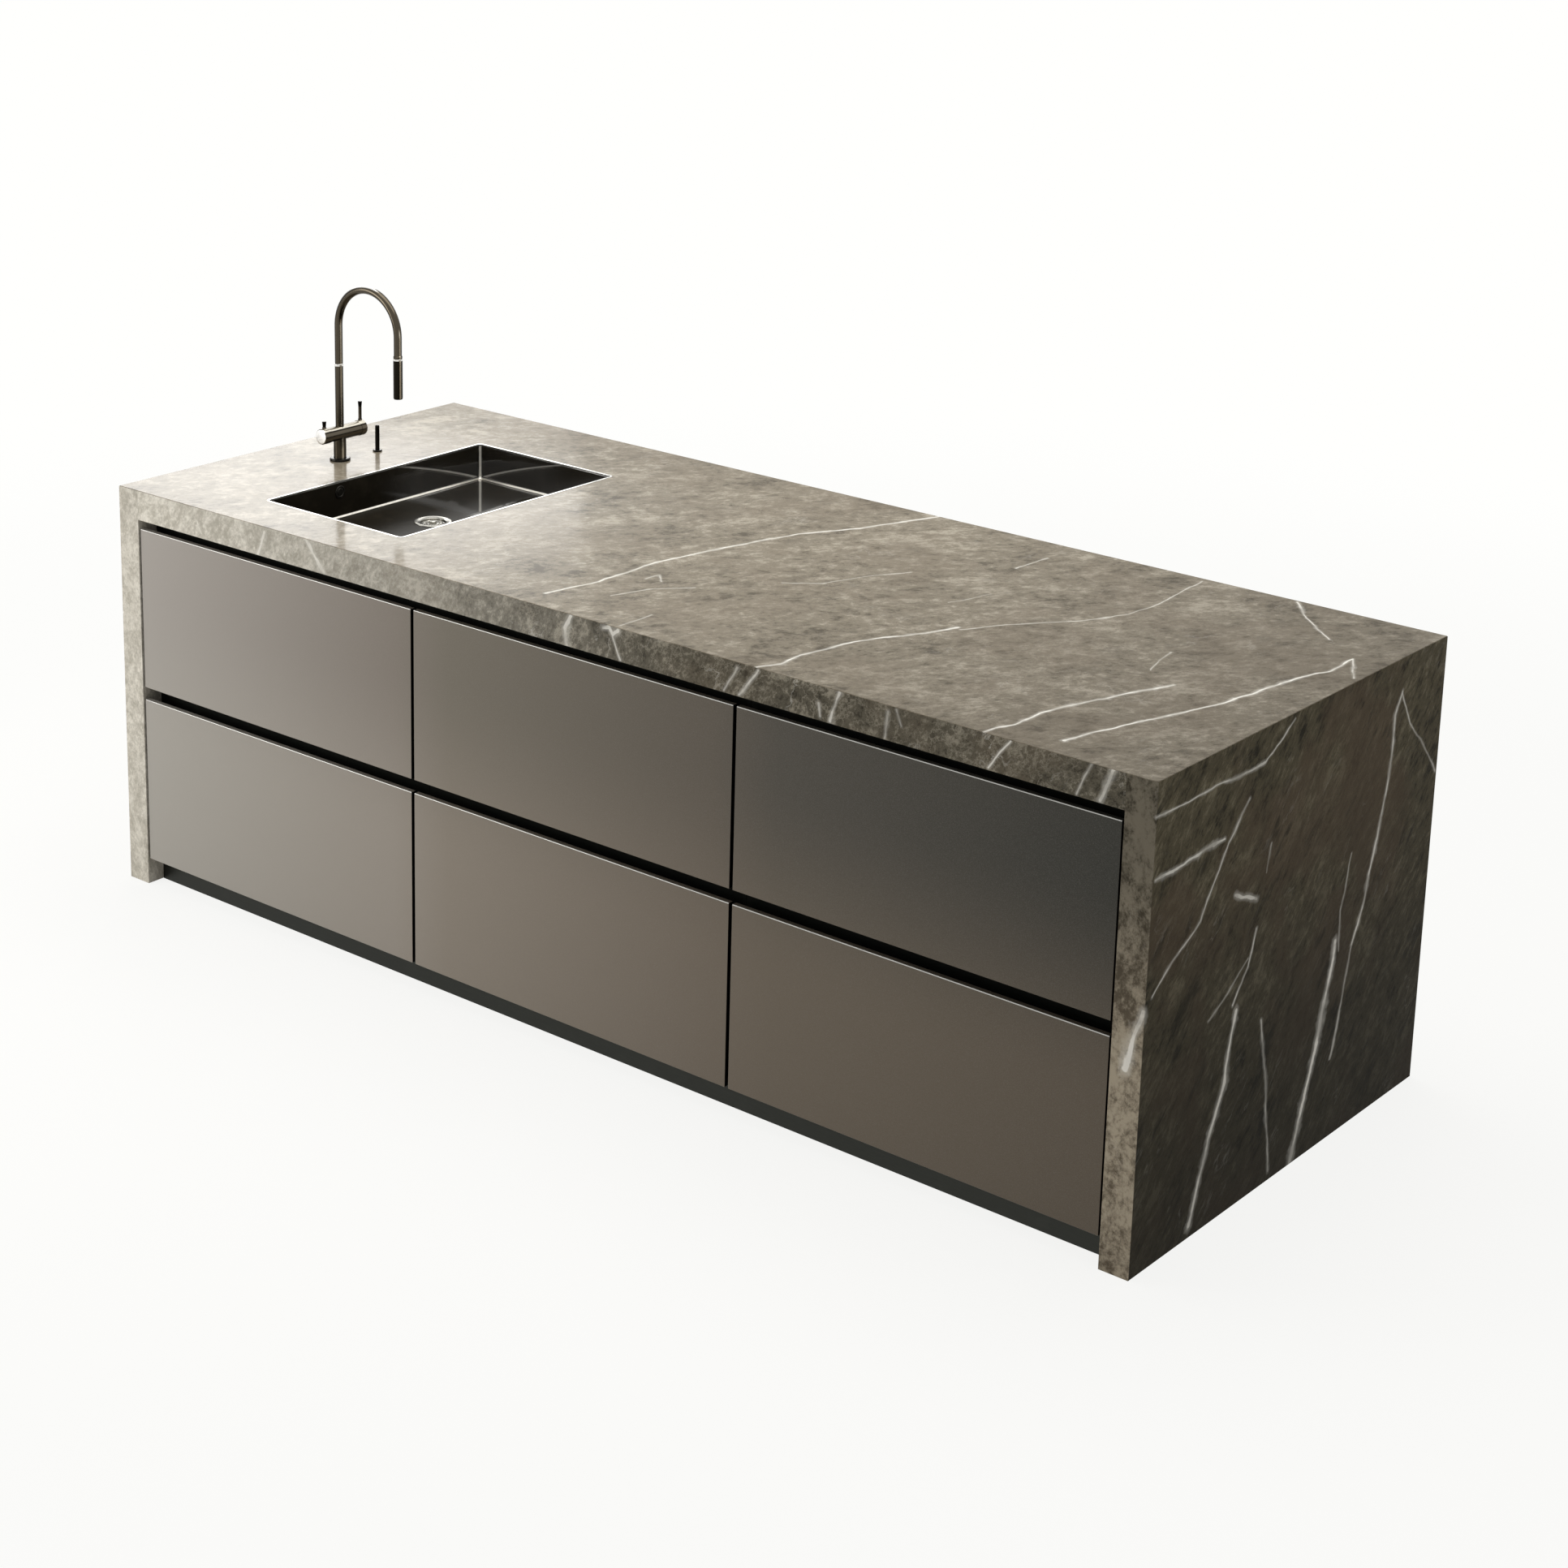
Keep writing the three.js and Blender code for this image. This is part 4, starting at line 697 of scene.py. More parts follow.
@dataclass(frozen=True)
class BrushedMetal(Finish):
    """Metal with fine brush lines.

    Attributes:
        colour: of the metal.
        gloss: roughness between the lines.
        line: how much longer than wide the lines are along each axis.
        depth: depth of the lines, in metres.
        joints: places along X of thin dark butt joints.
        part: the round part of the tap it covers, if it has gleams.
        painted_reflections: its lighter and darker bands, painted highlights and reflections.
    """

    colour: Colour = (0.105, 0.090, 0.068)
    gloss: float = 0.20
    line: Point = (1, 1, 60)
    depth: float = 0.00006
    joints: tuple[float, ...] = ()
    part: Round | None = None
    painted_reflections: tuple[PaintedReflection, ...] = ()

    def build(self, graph: Graph) -> None:
        """Draws the brush lines into the roughness, tone and normal, and paints bands of highlight
        and reflection onto round parts.
        """
        place = graph.place()
        lines = graph.noise(graph.laid(place, (0, 0, 0), self.line), 1800.0, 3.0, 0.7)
        cloud = graph.noise(place, 22.0, 4.0)
        worn = tuple(min(1.0, part * 1.35) for part in self.colour)
        wear = lines.ease(0.35, 0.7) * 0.5 + cloud.ease(0.5, 0.75) * 0.25
        colour = wear.mix(self.colour, worn)
        height = lines
        for joint in self.joints:
            gap = abs(graph.axes(place)[0] - joint).ease(0.0009, 0.0003)
            colour = gap.mix(colour, (0.002, 0.002, 0.002))
            height = height - gap * 3.0
        if self.part:
            facing = self.part.facing(graph, place)
            # painted highlights and dark reflections, placed by the way the surface faces
            for painted_reflection in self.painted_reflections:
                colour = painted_reflection.mask(graph, facing).mix(colour, painted_reflection.colour)
        graph.finish(
            Base_Color=colour,
            Metallic=1.0,
            Roughness=lines * 0.16 + cloud * 0.06 + (self.gloss - 0.1),
            Normal=graph.bump(height, self.depth, 0.5),
        )


@dataclass(frozen=True)
class Board(Finish):
    """Laminated board with a fine linen print.

    Attributes:
        ground: main colour.
        thread: colour of the raised threads.
        pitch: threads to the metre.
    """

    ground: Colour = (0.050, 0.047, 0.043)
    thread: Colour = (0.105, 0.098, 0.088)
    pitch: float = 620.0

    def build(self, graph: Graph) -> None:
        """Crosses two sets of threads on whichever way the board faces."""
        place = graph.place()
        one, two = (
            graph.noise(graph.laid(place, (0, 0, 0), length), self.pitch, 2.0)
            for length in ((1, 34, 1), (30, 1, 30))
        )
        weave = (one | two).ease(0.42, 0.72)
        cloud = graph.noise(place, 9.0, 3.0)
        graph.finish(
            Base_Color=(weave * 0.75 + cloud * 0.2).mix(self.ground, self.thread),
            Roughness=weave * 0.12 + 0.48,
            Normal=graph.bump(weave, 0.00018, 0.5),
        )


@dataclass(frozen=True)
class Plywood(Finish):
    """Sealed birch plywood for the hidden frames, with its plies on the edges."""

    pale: Colour = (0.34, 0.245, 0.150)
    deep: Colour = (0.20, 0.130, 0.072)
    ply: float = 0.0016

    def build(self, graph: Graph) -> None:
        """Stretches the figure along the length and stacks the plies in height."""
        place = graph.place()
        figure = graph.laid(graph.drift(place, 2.0, 0.02), (0, 0, 0), (14, 1, 1))
        figure = graph.noise(figure, 60.0, 6.0, 0.6)
        pores = graph.noise(graph.laid(place, (0, 0, 0), (30, 1, 1)), 700.0, 2.0)
        inputs = {0: graph.axes(place)[2], 1: self.ply}
        plies = graph.node("ShaderNodeMath", {"operation": "PINGPONG"}, inputs) / self.ply
        tone = figure.ease(0.35, 0.68) * 0.6 + pores.ease(0.55, 0.75) * 0.25 + plies * 0.15
        graph.finish(
            Base_Color=tone.mix(self.pale, self.deep),
            Roughness=figure * 0.2 + 0.5,
            Normal=graph.bump(pores, 0.0002, 0.4),
        )


@dataclass(frozen=True)
class BlackEnamel(Finish):
    """The bowl's deep black, smooth enough to mirror its own edges."""

    ground: Colour = (0.0120, 0.0098, 0.0062)
    marked: Colour = (0.021, 0.017, 0.011)

    def build(self, graph: Graph) -> None:
        """Adds faint water marks and scratches; the walls are glossier than the floor."""
        place = graph.place()
        marks = graph.noise(graph.drift(place, 9.0, 0.03), 24.0, 5.0, 0.6)
        scratch = graph.noise(graph.laid(place, (0, 0, 35), (1, 40, 1)), 1500.0, 2.0)
        along, across, height = graph.axes(place)
        wall = height.ease(0.824, 0.827) * across.ease(-0.06, 0.10)
        corner = along.ease(-0.77, -0.80) * across.ease(0.02, 0.06)
        graph.finish(
            Base_Color=marks.ease(0.45, 0.75).mix(self.ground, self.marked),
            Roughness=marks * 0.10 + scratch * 0.05 + 0.30,
            Specular_IOR_Level=0.06,
            Coat_Weight=(wall | corner) * 0.9,
            Coat_Roughness=0.03,
            Coat_IOR=2.4,
            Normal=graph.bump(scratch, 0.00003, 0.25),
        )


@dataclass(frozen=True)
class MouldedPlastic(Finish):
    """Plain moulded plastic with a fine spark-eroded grain."""

    colour: Colour = (0.62, 0.62, 0.60)

    def build(self, graph: Graph) -> None:
        """Grains the face and lets handling marks dull it."""
        place = graph.place()
        marks = graph.noise(place, 16.0, 4.0)
        dull = tuple(part * 0.86 for part in self.colour)
        graph.finish(
            Base_Color=marks.ease(0.5, 0.8).mix(self.colour, dull),
            Roughness=marks * 0.15 + 0.34,
            Normal=graph.bump(graph.noise(place, 1400.0, 2.0), 0.00012, 0.4),
        )


@dataclass(frozen=True)
class Braid(Finish):
    """The spray hose's dark woven jacket."""

    hollow: Colour = (0.018, 0.018, 0.018)
    strand: Colour = (0.11, 0.108, 0.10)

    def build(self, graph: Graph) -> None:
        """Draws long strands, which stay whole when the hose is drawn out."""
        lines = graph.laid(graph.place(), (0, 0, 0), (1, 1, 40))
        strands = graph.noise(lines, 1500.0, 2.0).ease(0.35, 0.65)
        graph.finish(
            Base_Color=strands.mix(self.hollow, self.strand),
            Roughness=strands * 0.2 + 0.4,
            Normal=graph.bump(strands, 0.0003, 0.6),
        )


def steel(name: str, colour: Colour, gloss: float, line: Point, **more: Any) -> BrushedMetal:
    """Smooth metal with fainter brush lines than the tap's.

    Args:
        name: of the finish.
        colour: of the metal.
        gloss: roughness between the lines.
        line: how much longer than wide the lines are along each axis.
        **more: other settings of BrushedMetal.

    Returns:
        The finish.
    """
    return BrushedMetal(name, colour=colour, gloss=gloss, line=line, **{"depth": 0.00003, **more})


# Painted highlights and dark reflections on the tap's tubes and cross bar, placed by the way each
# surface faces.
TUBE_PAINTED_REFLECTIONS = (
    PaintedReflection((-0.25, -0.25, 0.94), 38, 20, (0.97, 0.96, 0.93)),
    PaintedReflection((0.967, -0.257, 0), 13, 5, (0.55, 0.50, 0.41)),
    PaintedReflection((-0.690, -0.725, 0), 50, 28, (0.018, 0.015, 0.011)),
    PaintedReflection((0.690, 0.725, 0), 40, 25, (0.014, 0.012, 0.009)),
)
BAR_PAINTED_REFLECTIONS = (
    PaintedReflection((0.500, 0, 0.866), 22, 9, (0.86, 0.81, 0.70)),
    PaintedReflection((0.799, 0, 0.602), 8, 4, (0.025, 0.021, 0.016)),
    PaintedReflection((0.342, 0, -0.940), 48, 36, (0.006, 0.005, 0.004)),
    PaintedReflection((-0.342, 0, 0.940), 26, 16, (0.020, 0.017, 0.013)),
)
TAP_UPRIGHT = BrushedMetal(
    "tap_upright", colour=(0.070, 0.059, 0.043), part=Round.TUBE, painted_reflections=TUBE_PAINTED_REFLECTIONS
)
TAP_SPRAY = BrushedMetal(
    "tap_spray", colour=(0.012, 0.010, 0.007), part=Round.TUBE, painted_reflections=TUBE_PAINTED_REFLECTIONS[1:]
)
TAP_CROSS = BrushedMetal("tap_cross", line=(1, 60, 1), part=Round.BAR, painted_reflections=BAR_PAINTED_REFLECTIONS)
TAP_CAP = BrushedMetal("tap_cap", line=(1, 60, 1), part=Round.BAR, painted_reflections=BAR_PAINTED_REFLECTIONS[:2])
KNOB_METAL = BrushedMetal("knob_black", colour=(0.014, 0.013, 0.011), gloss=0.24)
FAINT = BrushedMetal("overflow_dark", colour=(0.030, 0.028, 0.024), gloss=0.30, line=(1, 30, 30))
RUNNER = BrushedMetal("runner_steel", colour=(0.48, 0.49, 0.50), gloss=0.36, line=(1, 50, 1))
CHANNEL = BrushedMetal(
    "channel_anodised", colour=(0.022, 0.023, 0.020), gloss=0.42, line=(60, 1, 1),
    joints=(-0.413, 0.413),
)
PLINTH = BrushedMetal("plinth_anodised", colour=(0.030, 0.031, 0.027), gloss=0.42, line=(60, 1, 1))
# lighter steel on the fronts' crest: a painted highlight
CREST_PAINTED_HIGHLIGHT = steel("front_crest_painted_highlight", (0.34, 0.335, 0.32), 0.36, (60, 1, 1))
# near-black on the fronts' sides: painted shade in the gaps
SIDE_PAINTED_SHADE = steel("front_side_painted_shade", (0.012, 0.012, 0.011), 0.5, (1, 1, 40))
BRIGHT = steel("steel_bright", (0.66, 0.65, 0.62), 0.16, (30, 30, 1))
# bright steel on the bowl's radii: a painted highlight
SEAM_PAINTED_HIGHLIGHT = steel("bowl_radius_painted_highlight", (0.72, 0.69, 0.62), 0.32, (20, 20, 20))
DRAIN = steel("steel_drain", (0.33, 0.32, 0.29), 0.18, (30, 30, 1))
RIM = steel("rim_steel", (0.55, 0.545, 0.52), 0.2, (40, 40, 1))
CAP = steel("cap_polished", (0.80, 0.79, 0.77), 0.24, (30, 1, 30), depth=0.00002)
LACQUER = Lacquer("lacquer_taupe")
CARCASS = Board("carcass_linen")
DRAWER = Board("drawer_linen", (0.070, 0.064, 0.057), (0.150, 0.138, 0.120), 520.0)
PLYWOOD = Plywood("frame_plywood")
ENAMEL = BlackEnamel("bowl_black")
PLASTIC = MouldedPlastic("trap_plastic")
BRAID = Braid("hose_braid")


# ---------------------------------------------------------------- making pieces


@dataclass(frozen=True)
class Turning:
    """A form that is spun round an axis.

    Attributes:
        foot: the point on the axis at height 0.
        profile: (radius, height) points in millimetres, from the bottom up the outside; it closes
            itself where it ends on the axis or where its first point comes again.
        axis: the way the heights grow.
        steps: sides of the form.
    """

    foot: Vector
    profile: Profile
    axis: Point = (0, 0, 1)
    steps: int = 64

    def add(self, mesh: BMesh) -> None:
        """Spins the profile and adds it to a mesh."""
        axis = Vector(self.axis)
        side = axis.orthogonal().normalized()
        closed = self.profile[0] == self.profile[-1]
        points = self.profile[:-1] if closed else self.profile
        ring = [
            mesh.verts.new(self.foot + side * (radius * MM) + axis * (height * MM))
            for radius, height in points
        ]
        pairs = list(zip(ring, ring[1:])) + ([(ring[-1], ring[0])] if closed else [])
        edges = [mesh.edges.new(pair) for pair in pairs]
        bmesh.ops.spin(
            mesh, geom=[*ring, *edges], cent=self.foot, axis=axis, dvec=(0, 0, 0),
            angle=math.tau, steps=self.steps, use_merge=True, use_duplicate=False,
        )


def bevel(
    mesh: BMesh, geom: list, width: float, segments: int, affect: str = "EDGES", clamp: bool = False
) -> list[BMFace]:
    """Rounds edges or corners.

    Args:
        mesh: the mesh.
        geom: the edges or corners.
        width: of the rounding, in metres.
        segments: faces across it.
        affect: EDGES or VERTICES.
        clamp: whether neighbouring roundings keep clear of each other.

    Returns:
        The new faces.
    """
    return bmesh.ops.bevel(
        mesh, geom=geom, offset=width, offset_type="OFFSET", segments=segments, profile=0.5,
        affect=affect, material=-1, clamp_overlap=clamp,
    )["faces"]


def ease_edges(mesh: BMesh, width: float, segments: int = 2, sharper: float = 28.0) -> None:
    """Rounds every edge that is sharper than an angle.

    Args:
        mesh: the mesh, with its doubles merged and its faces turned out.
        width: of the rounding, in metres.
        segments: faces across the rounding.
        sharper: the angle in degrees.
    """
    limit = math.radians(sharper)
    sharp = [e for e in mesh.edges if len(e.link_faces) == 2 and e.calc_face_angle(0.0) > limit]
    bevel(mesh, sharp, width, segments, clamp=True)


def tidy(mesh: BMesh) -> None:
    """Merges doubles and turns the faces out."""
    bmesh.ops.remove_doubles(mesh, verts=mesh.verts, dist=1e-6)
    bmesh.ops.recalc_face_normals(mesh, faces=mesh.faces)


def raise_faces(mesh: BMesh, faces: list[BMFace], step: Point, keep: bool = True) -> None:
    """Extrudes faces.

    Args:
        mesh: the mesh.
        faces: the faces.
        step: how far they move.
        keep: whether the old faces stay where they were.
    """
    made = bmesh.ops.extrude_face_region(mesh, geom=faces, use_keep_orig=keep)["geom"]
    bmesh.ops.translate(mesh, verts=[part for part in made if isinstance(part, BMVert)], vec=step)


def draw_out(mesh: BMesh, edges: list[BMEdge], step: Vector) -> list[BMEdge]:
    """Extrudes a loop of edges.

    Args:
        mesh: the mesh.
        edges: the loop.
        step: how far the new loop lies from the old one.

    Returns:
        The new loop's edges.
    """
    made = bmesh.ops.extrude_edge_only(mesh, edges=edges)["geom"]
    bmesh.ops.translate(mesh, verts=[part for part in made if isinstance(part, BMVert)], vec=step)
    return [
        part for part in made
        if isinstance(part, BMEdge) and all(vert in made for vert in part.verts)
    ]


def circle(
    mesh: BMesh, radius: float, segments: int, middle: Vector, closed: bool = True
) -> list[BMVert]:
    """Draws a level circle.

    Args:
        mesh: the mesh it is added to.
        radius: in metres.
        segments: its sides.
        middle: its middle.
        closed: whether it has a face.

    Returns:
        Its vertices.
    """
    return bmesh.ops.create_circle(
        mesh, cap_ends=closed, radius=radius, segments=segments, matrix=Matrix.Translation(middle)
    )["verts"]


@dataclass
class Piece:
    """How a finished mesh joins the unit.

    Attributes:
        name: of its object.
        body: the body that it rides on.
        slot: the material slot of the record that it belongs to; not used.
        finishes: its finishes, in the order of its faces' material numbers.
        stands_for: the CAD nodes that it replaces.
        smooth: shade smoothly up to this angle in degrees, or 0 for flat shading.
    """

    name: str
    body: str
    slot: str
    finishes: tuple[Finish, ...]
    stands_for: tuple[str, ...] = ()
    smooth: float = 32.0

    def place(self, mesh: BMesh) -> bpy.types.Object:
        """Turns a finished mesh, which is used up, into an object that rides on its body."""
        data = bpy.data.meshes.new(self.name)
        mesh.to_mesh(data)
        mesh.free()
        for finish in self.finishes:
            data.materials.append(finish.material())
        made = bpy.data.objects.new(self.name, data)
        bpy.context.scene.collection.objects.link(made)
        if self.smooth:
            data.shade_smooth()
            data.set_sharp_from_angle(angle=math.radians(self.smooth))
            made.modifiers.new("steady", "WEIGHTED_NORMAL").keep_sharp = True
        if self.body:
            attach(made, self.body)
        if self.stands_for:
            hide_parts(*self.stands_for)
        LOG.info("%s: %d faces on %s", self.name, len(data.polygons), self.body or "the stage")
        return made

    def turned(self, *forms: Turning, easing: float, sharper: float = 28.0) -> bpy.types.Object:
        """Turns the piece on a lathe.

        Args:
            *forms: what it is made of.
            easing: rounding of its edges, in metres.
            sharper: the angle in degrees from which an edge is rounded.

        Returns:
            The object.
        """
        mesh = bmesh.new()
        for form in forms:
            form.add(mesh)
        tidy(mesh)
        ease_edges(mesh, easing, sharper=sharper)
        return self.place(mesh)


def dress(finish: Finish, *nodes: str) -> None:
    """Gives the CAD nodes of these names a finish."""
    for node in nodes:
        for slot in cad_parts[node].material_slots:
            slot.material = finish.material()
        LOG.info("%s keeps its solid, in %s", node, finish.name)


# ---------------------------------------------------------------- cladding and carcass


@dataclass
class Cladding:
    """The stone round the unit: worktop, aprons and end panels, mitred at their corners."""

    def build(self) -> None:
        """Dresses each slab in its own cut of the stone."""
        dress(TOP_STONE, "worktop")
        dress(APRON_STONE, "front_apron")
        dress(REAR_STONE, "rear_apron")
        dress(LEFT_STONE, "left_end_panel")
        dress(RIGHT_STONE, "right_end_panel")


class Column(Enum):
    """A column of drawers, or the part of the carcass behind it."""

    LEFT = "left"
    MIDDLE = "middle"
    RIGHT = "right"


@dataclass
class Carcass:
    """The boards, frames, channels and plinths behind the fronts.

    Attributes:
        easing: rounding of the rear panels' edges.
    """

    easing: float = 0.0012

    def build(self) -> None:
        """Dresses what stays as solids, and makes the rear panels with eased edges."""
        dress(CARCASS, *(f"carcass_{column.value}" for column in Column))
        dress(PLYWOOD, "packing_frame", "base_frame", "rear_frame")
        dress(CHANNEL, "top_channel", "middle_channel")
        dress(PLINTH, "plinth_front", "plinth_rear")
        for column in Column:
            self.rear_panel(f"rear_panel_{column.value}", f"cover_{column.value}")

    def rear_panel(self, node: str, name: str) -> None:
        """Makes the piece of this name for a rear panel's node."""
        low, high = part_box(node)
        place = Matrix.Translation((high + low) / 2) @ Matrix.Diagonal((*(high - low), 1))
        mesh = bmesh.new()
        bmesh.ops.create_cube(mesh, size=1.0, matrix=place)
        ease_edges(mesh, self.easing, 3)
        Piece(name, "island", "lacquer", (LACQUER,), (node,)).place(mesh)


# ---------------------------------------------------------------- drawers


class Row(Enum):
    """A row of drawers."""

    UPPER = "upper"
    LOWER = "lower"


@dataclass
class Drawer:
    """One drawer; its handleless front is flat, with a land on top and a finger bevel behind.

    Attributes:
        row: the row it belongs to.
        column: the column it belongs to.
        land: depth of the flat part of the front's top edge.
        drop: how far the bevel behind it falls.
        easing: rounding of the edges.
        crest: rounding of the bright upper edge, whose lighter steel is a painted highlight.
    """

    row: Row
    column: Column
    land: float = 0.012
    drop: float = 0.014
    easing: float = 0.0009
    crest: float = 0.0018

    def build(self) -> None:
        """Makes the front, and dresses the box and its runners."""
        name = f"{self.row.value}_{self.column.value}"
        self.front(name)
        dress(DRAWER, f"drawer_box_{name}")
        dress(RUNNER, f"runner_{name}_left", f"runner_{name}_right")

    def front(self, name: str) -> None:
        """Draws the section, runs it along the front and eases its edges; paints a highlight on the
        crest and shade on the sides.
        """
        low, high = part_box(f"drawer_front_{name}")
        section = (
            (low.y, low.z), (low.y, high.z), (low.y + self.land, high.z),
            (high.y, high.z - self.drop), (high.y, low.z),
        )
        mesh = bmesh.new()
        start = mesh.faces.new([mesh.verts.new((low.x, y, z)) for y, z in section])
        raise_faces(mesh, [start], (high.x - low.x, 0, 0))
        tidy(mesh)
        crest = [
            edge for edge in mesh.edges
            if all(max(abs(v.co.y - low.y), abs(v.co.z - high.z)) < HAIR for v in edge.verts)
        ]
        # the crest's lighter steel is a painted highlight along the top edge
        for face in bevel(mesh, crest, self.crest, 4):
            face.material_index = 1
        ease_edges(mesh, self.easing, 3)
        # near-black on the side faces: painted shade in the gaps between the fronts
        for face in mesh.faces:
            if abs(face.normal.x) > 0.9:
                face.material_index = 2
        finishes = (LACQUER, CREST_PAINTED_HIGHLIGHT, SIDE_PAINTED_SHADE)
        stands_for = (f"drawer_front_{name}",)
        Piece(f"front_{name}", f"drawer_{name}", "lacquer", finishes, stands_for).place(mesh)


@dataclass
class Drawers:
    """The six drawers."""

    def build(self) -> None:
        """Builds them row by row."""
        for row in Row:
            for column in Column:
                Drawer(row, column).build()


# ---------------------------------------------------------------- sink


@dataclass
class Sink:
    """The shallow black bowl with its rim, drain and overflow.

    Attributes:
        middle: centre of the bowl at the top of the worktop.
        width: along X, inside the rim.
        length: along Y, inside the rim.
        depth: from the worktop to the floor of the bowl.
        corner: radius of the upright corners.
        floor_round: radius between wall and floor.
        segments: faces across either radius.
        wall: thickness of the steel.
        drop: how far below the worktop the bowl begins.
        flange_drop: from the worktop to the top of the flange under the slab.
        flange_steel: thickness of the flange.
        flange_reach: how far outside the opening the flange ends.
        neck_reach: how far outside the opening the rim's neck ends.
        lip_reach: how far outside the opening the lip on the stone ends.
        lip_rise: how high above the worktop the lip begins.
        hole: radius of the hole for the drain.
        overflow_at: the overflow's place along Y, and its distance below the worktop.
    """

    middle: Vector
    width: float = 0.400
    length: float = 0.650
    depth: float = 0.082
    corner: float = 0.008
    floor_round: float = 0.0075
    segments: int = 7
    wall: float = 0.003
    drop: float = 0.004
    flange_drop: float = 0.0303
    flange_steel: float = 0.004
    flange_reach: float = 0.025
    neck_reach: float = 0.005
    lip_reach: float = 0.0052
    lip_rise: float = 0.0001
    hole: float = 0.0303
    overflow_at: tuple[float, float] = (-0.165, 0.024)

    @property
    def drain(self) -> Vector:
        """Centre of the drain at the floor's level, 30 mm from the middle, towards the tap."""
        return self.middle + Vector((-0.030, 0, -self.depth))

    def build(self) -> None:
        """Makes the bowl, rim, drain, plug, overflow cover, and dresses the trap."""
        self.bowl()
        self.flange()
        self.rim()
        self.waste()
        self.overflow()
        dress(PLASTIC, "bottle_trap", "waste_pipe")

    def outline(self, mesh: BMesh, grow: float, level: float) -> BMFace:
        """Draws the bowl's rounded outline as one face.

        Args:
            mesh: the mesh it is drawn in.
            grow: how far outside the opening it lies.
            level: its height.

        Returns:
            The face.
        """
        half = Vector((self.width / 2 + grow, self.length / 2 + grow, 0))
        centre = Vector((self.middle.x, self.middle.y, level))
        corners = [
            mesh.verts.new(centre + Vector((x * half.x, y * half.y, 0)))
            for x, y in ((-1, -1), (1, -1), (1, 1), (-1, 1))
        ]
        face = mesh.faces.new(corners)
        made = bevel(mesh, corners, self.corner + grow, self.segments, "VERTICES")
        return next(f for f in mesh.faces if f == face or f in made or len(f.verts) > 8)

    def bowl(self) -> None:
        """Draws the opening, sinks it, rounds it into the floor and cuts the drain; its radii take
        bright steel as a painted highlight.
        """
        mesh = bmesh.new()
        top = self.middle.z - self.drop
        opening = self.outline(mesh, 0.0, top)
        raise_faces(mesh, [opening], (0, 0, -self.depth - top + self.middle.z), keep=False)
        bmesh.ops.recalc_face_normals(mesh, faces=mesh.faces)
        bevel(mesh, list(self.level_faces(mesh)[0].edges), self.floor_round, self.segments)
        mesh.faces.ensure_lookup_table()
        flat = self.level_faces(mesh)
        self.cut_drain(mesh, flat[0])
        bmesh.ops.delete(mesh, geom=[flat[-1]], context="FACES_ONLY")
        inside = self.middle - Vector((0, 0, 0.03))
        # the corner and floor radii take bright steel: painted highlights along the black bowl's
        # rounded edges
        for face in mesh.faces:
            turns = sum(abs(part) > 0.5 for part in face.normal)
            face.material_index = 1 if turns > 1 else 0
            if face.normal.dot(inside - face.calc_center_median()) < 0:
                face.normal_flip()
        skin = Piece("bowl", "island", "sink_black", (ENAMEL, SEAM_PAINTED_HIGHLIGHT), ("sink_bowl",)).place(mesh)
        shell = skin.modifiers.new("steel", "SOLIDIFY")
        shell.thickness = self.wall
        shell.offset = -1.0
        skin.modifiers.move(1, 0)

    @staticmethod
    def level_faces(mesh: BMesh) -> list[BMFace]:
        """The bowl's two large faces, the lower one first."""
        large = [face for face in mesh.faces if len(face.verts) > 8]
        return sorted(large, key=lambda face: face.calc_center_median().z)

    def cut_drain(self, mesh: BMesh, floor: BMFace) -> None:
        """Replaces the bowl's flat floor by one with a round hole."""
        outer = list(floor.edges)
        level = floor.calc_center_median().z
        bmesh.ops.delete(mesh, geom=[floor], context="FACES_ONLY")
        middle = Vector((self.drain.x, self.drain.y, level))
        ring = circle(mesh, self.hole, 48, middle, closed=False)
        inner = list({edge for vert in ring for edge in vert.link_edges})
        bmesh.ops.triangle_fill(mesh, use_beauty=True, use_dissolve=False, edges=outer + inner)

    def frame(self, mesh: BMesh, reach: float, inner: float, low: float, high: float) -> None:
        """Adds a flat rounded frame round the opening.

        Args:
            mesh: the mesh it is added to.
            reach: how far outside the opening it ends.
            inner: how far outside the opening it begins.
            low: its lower level.
            high: its upper level.
        """
        before = set(mesh.faces)
        face = self.outline(mesh, reach, low)
        bmesh.ops.inset_individual(
            mesh, faces=[face], thickness=reach - inner, use_even_offset=True
        )
        bmesh.ops.delete(mesh, geom=[face], context="FACES_ONLY")
        band = [part for part in mesh.faces if part not in before]
        raise_faces(mesh, band, (0, 0, high - low))

    def flange(self) -> None:
        """Makes the flange that holds the bowl under the slab."""
        mesh = bmesh.new()
        level = self.middle.z - self.flange_drop
        self.frame(mesh, self.flange_reach, self.wall, level - self.flange_steel, level)
        tidy(mesh)
        Piece("bowl_flange", "island", "sink_black", (ENAMEL,)).place(mesh)

    def rim(self) -> None:
        """Makes the bright frame: a neck in the stone's opening, and a thin lip on the stone."""
        mesh = bmesh.new()
        low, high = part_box("sink_rim")
        step = self.middle.z + self.lip_rise
        self.frame(mesh, self.neck_reach, 0.0, low.z, step)
        self.frame(mesh, self.lip_reach, 0.0, step, high.z)
        tidy(mesh)
        ease_edges(mesh, 0.00015, 2, 50.0)
        Piece("rim", "island", "polished_steel", (RIM,), ("sink_rim",)).place(mesh)

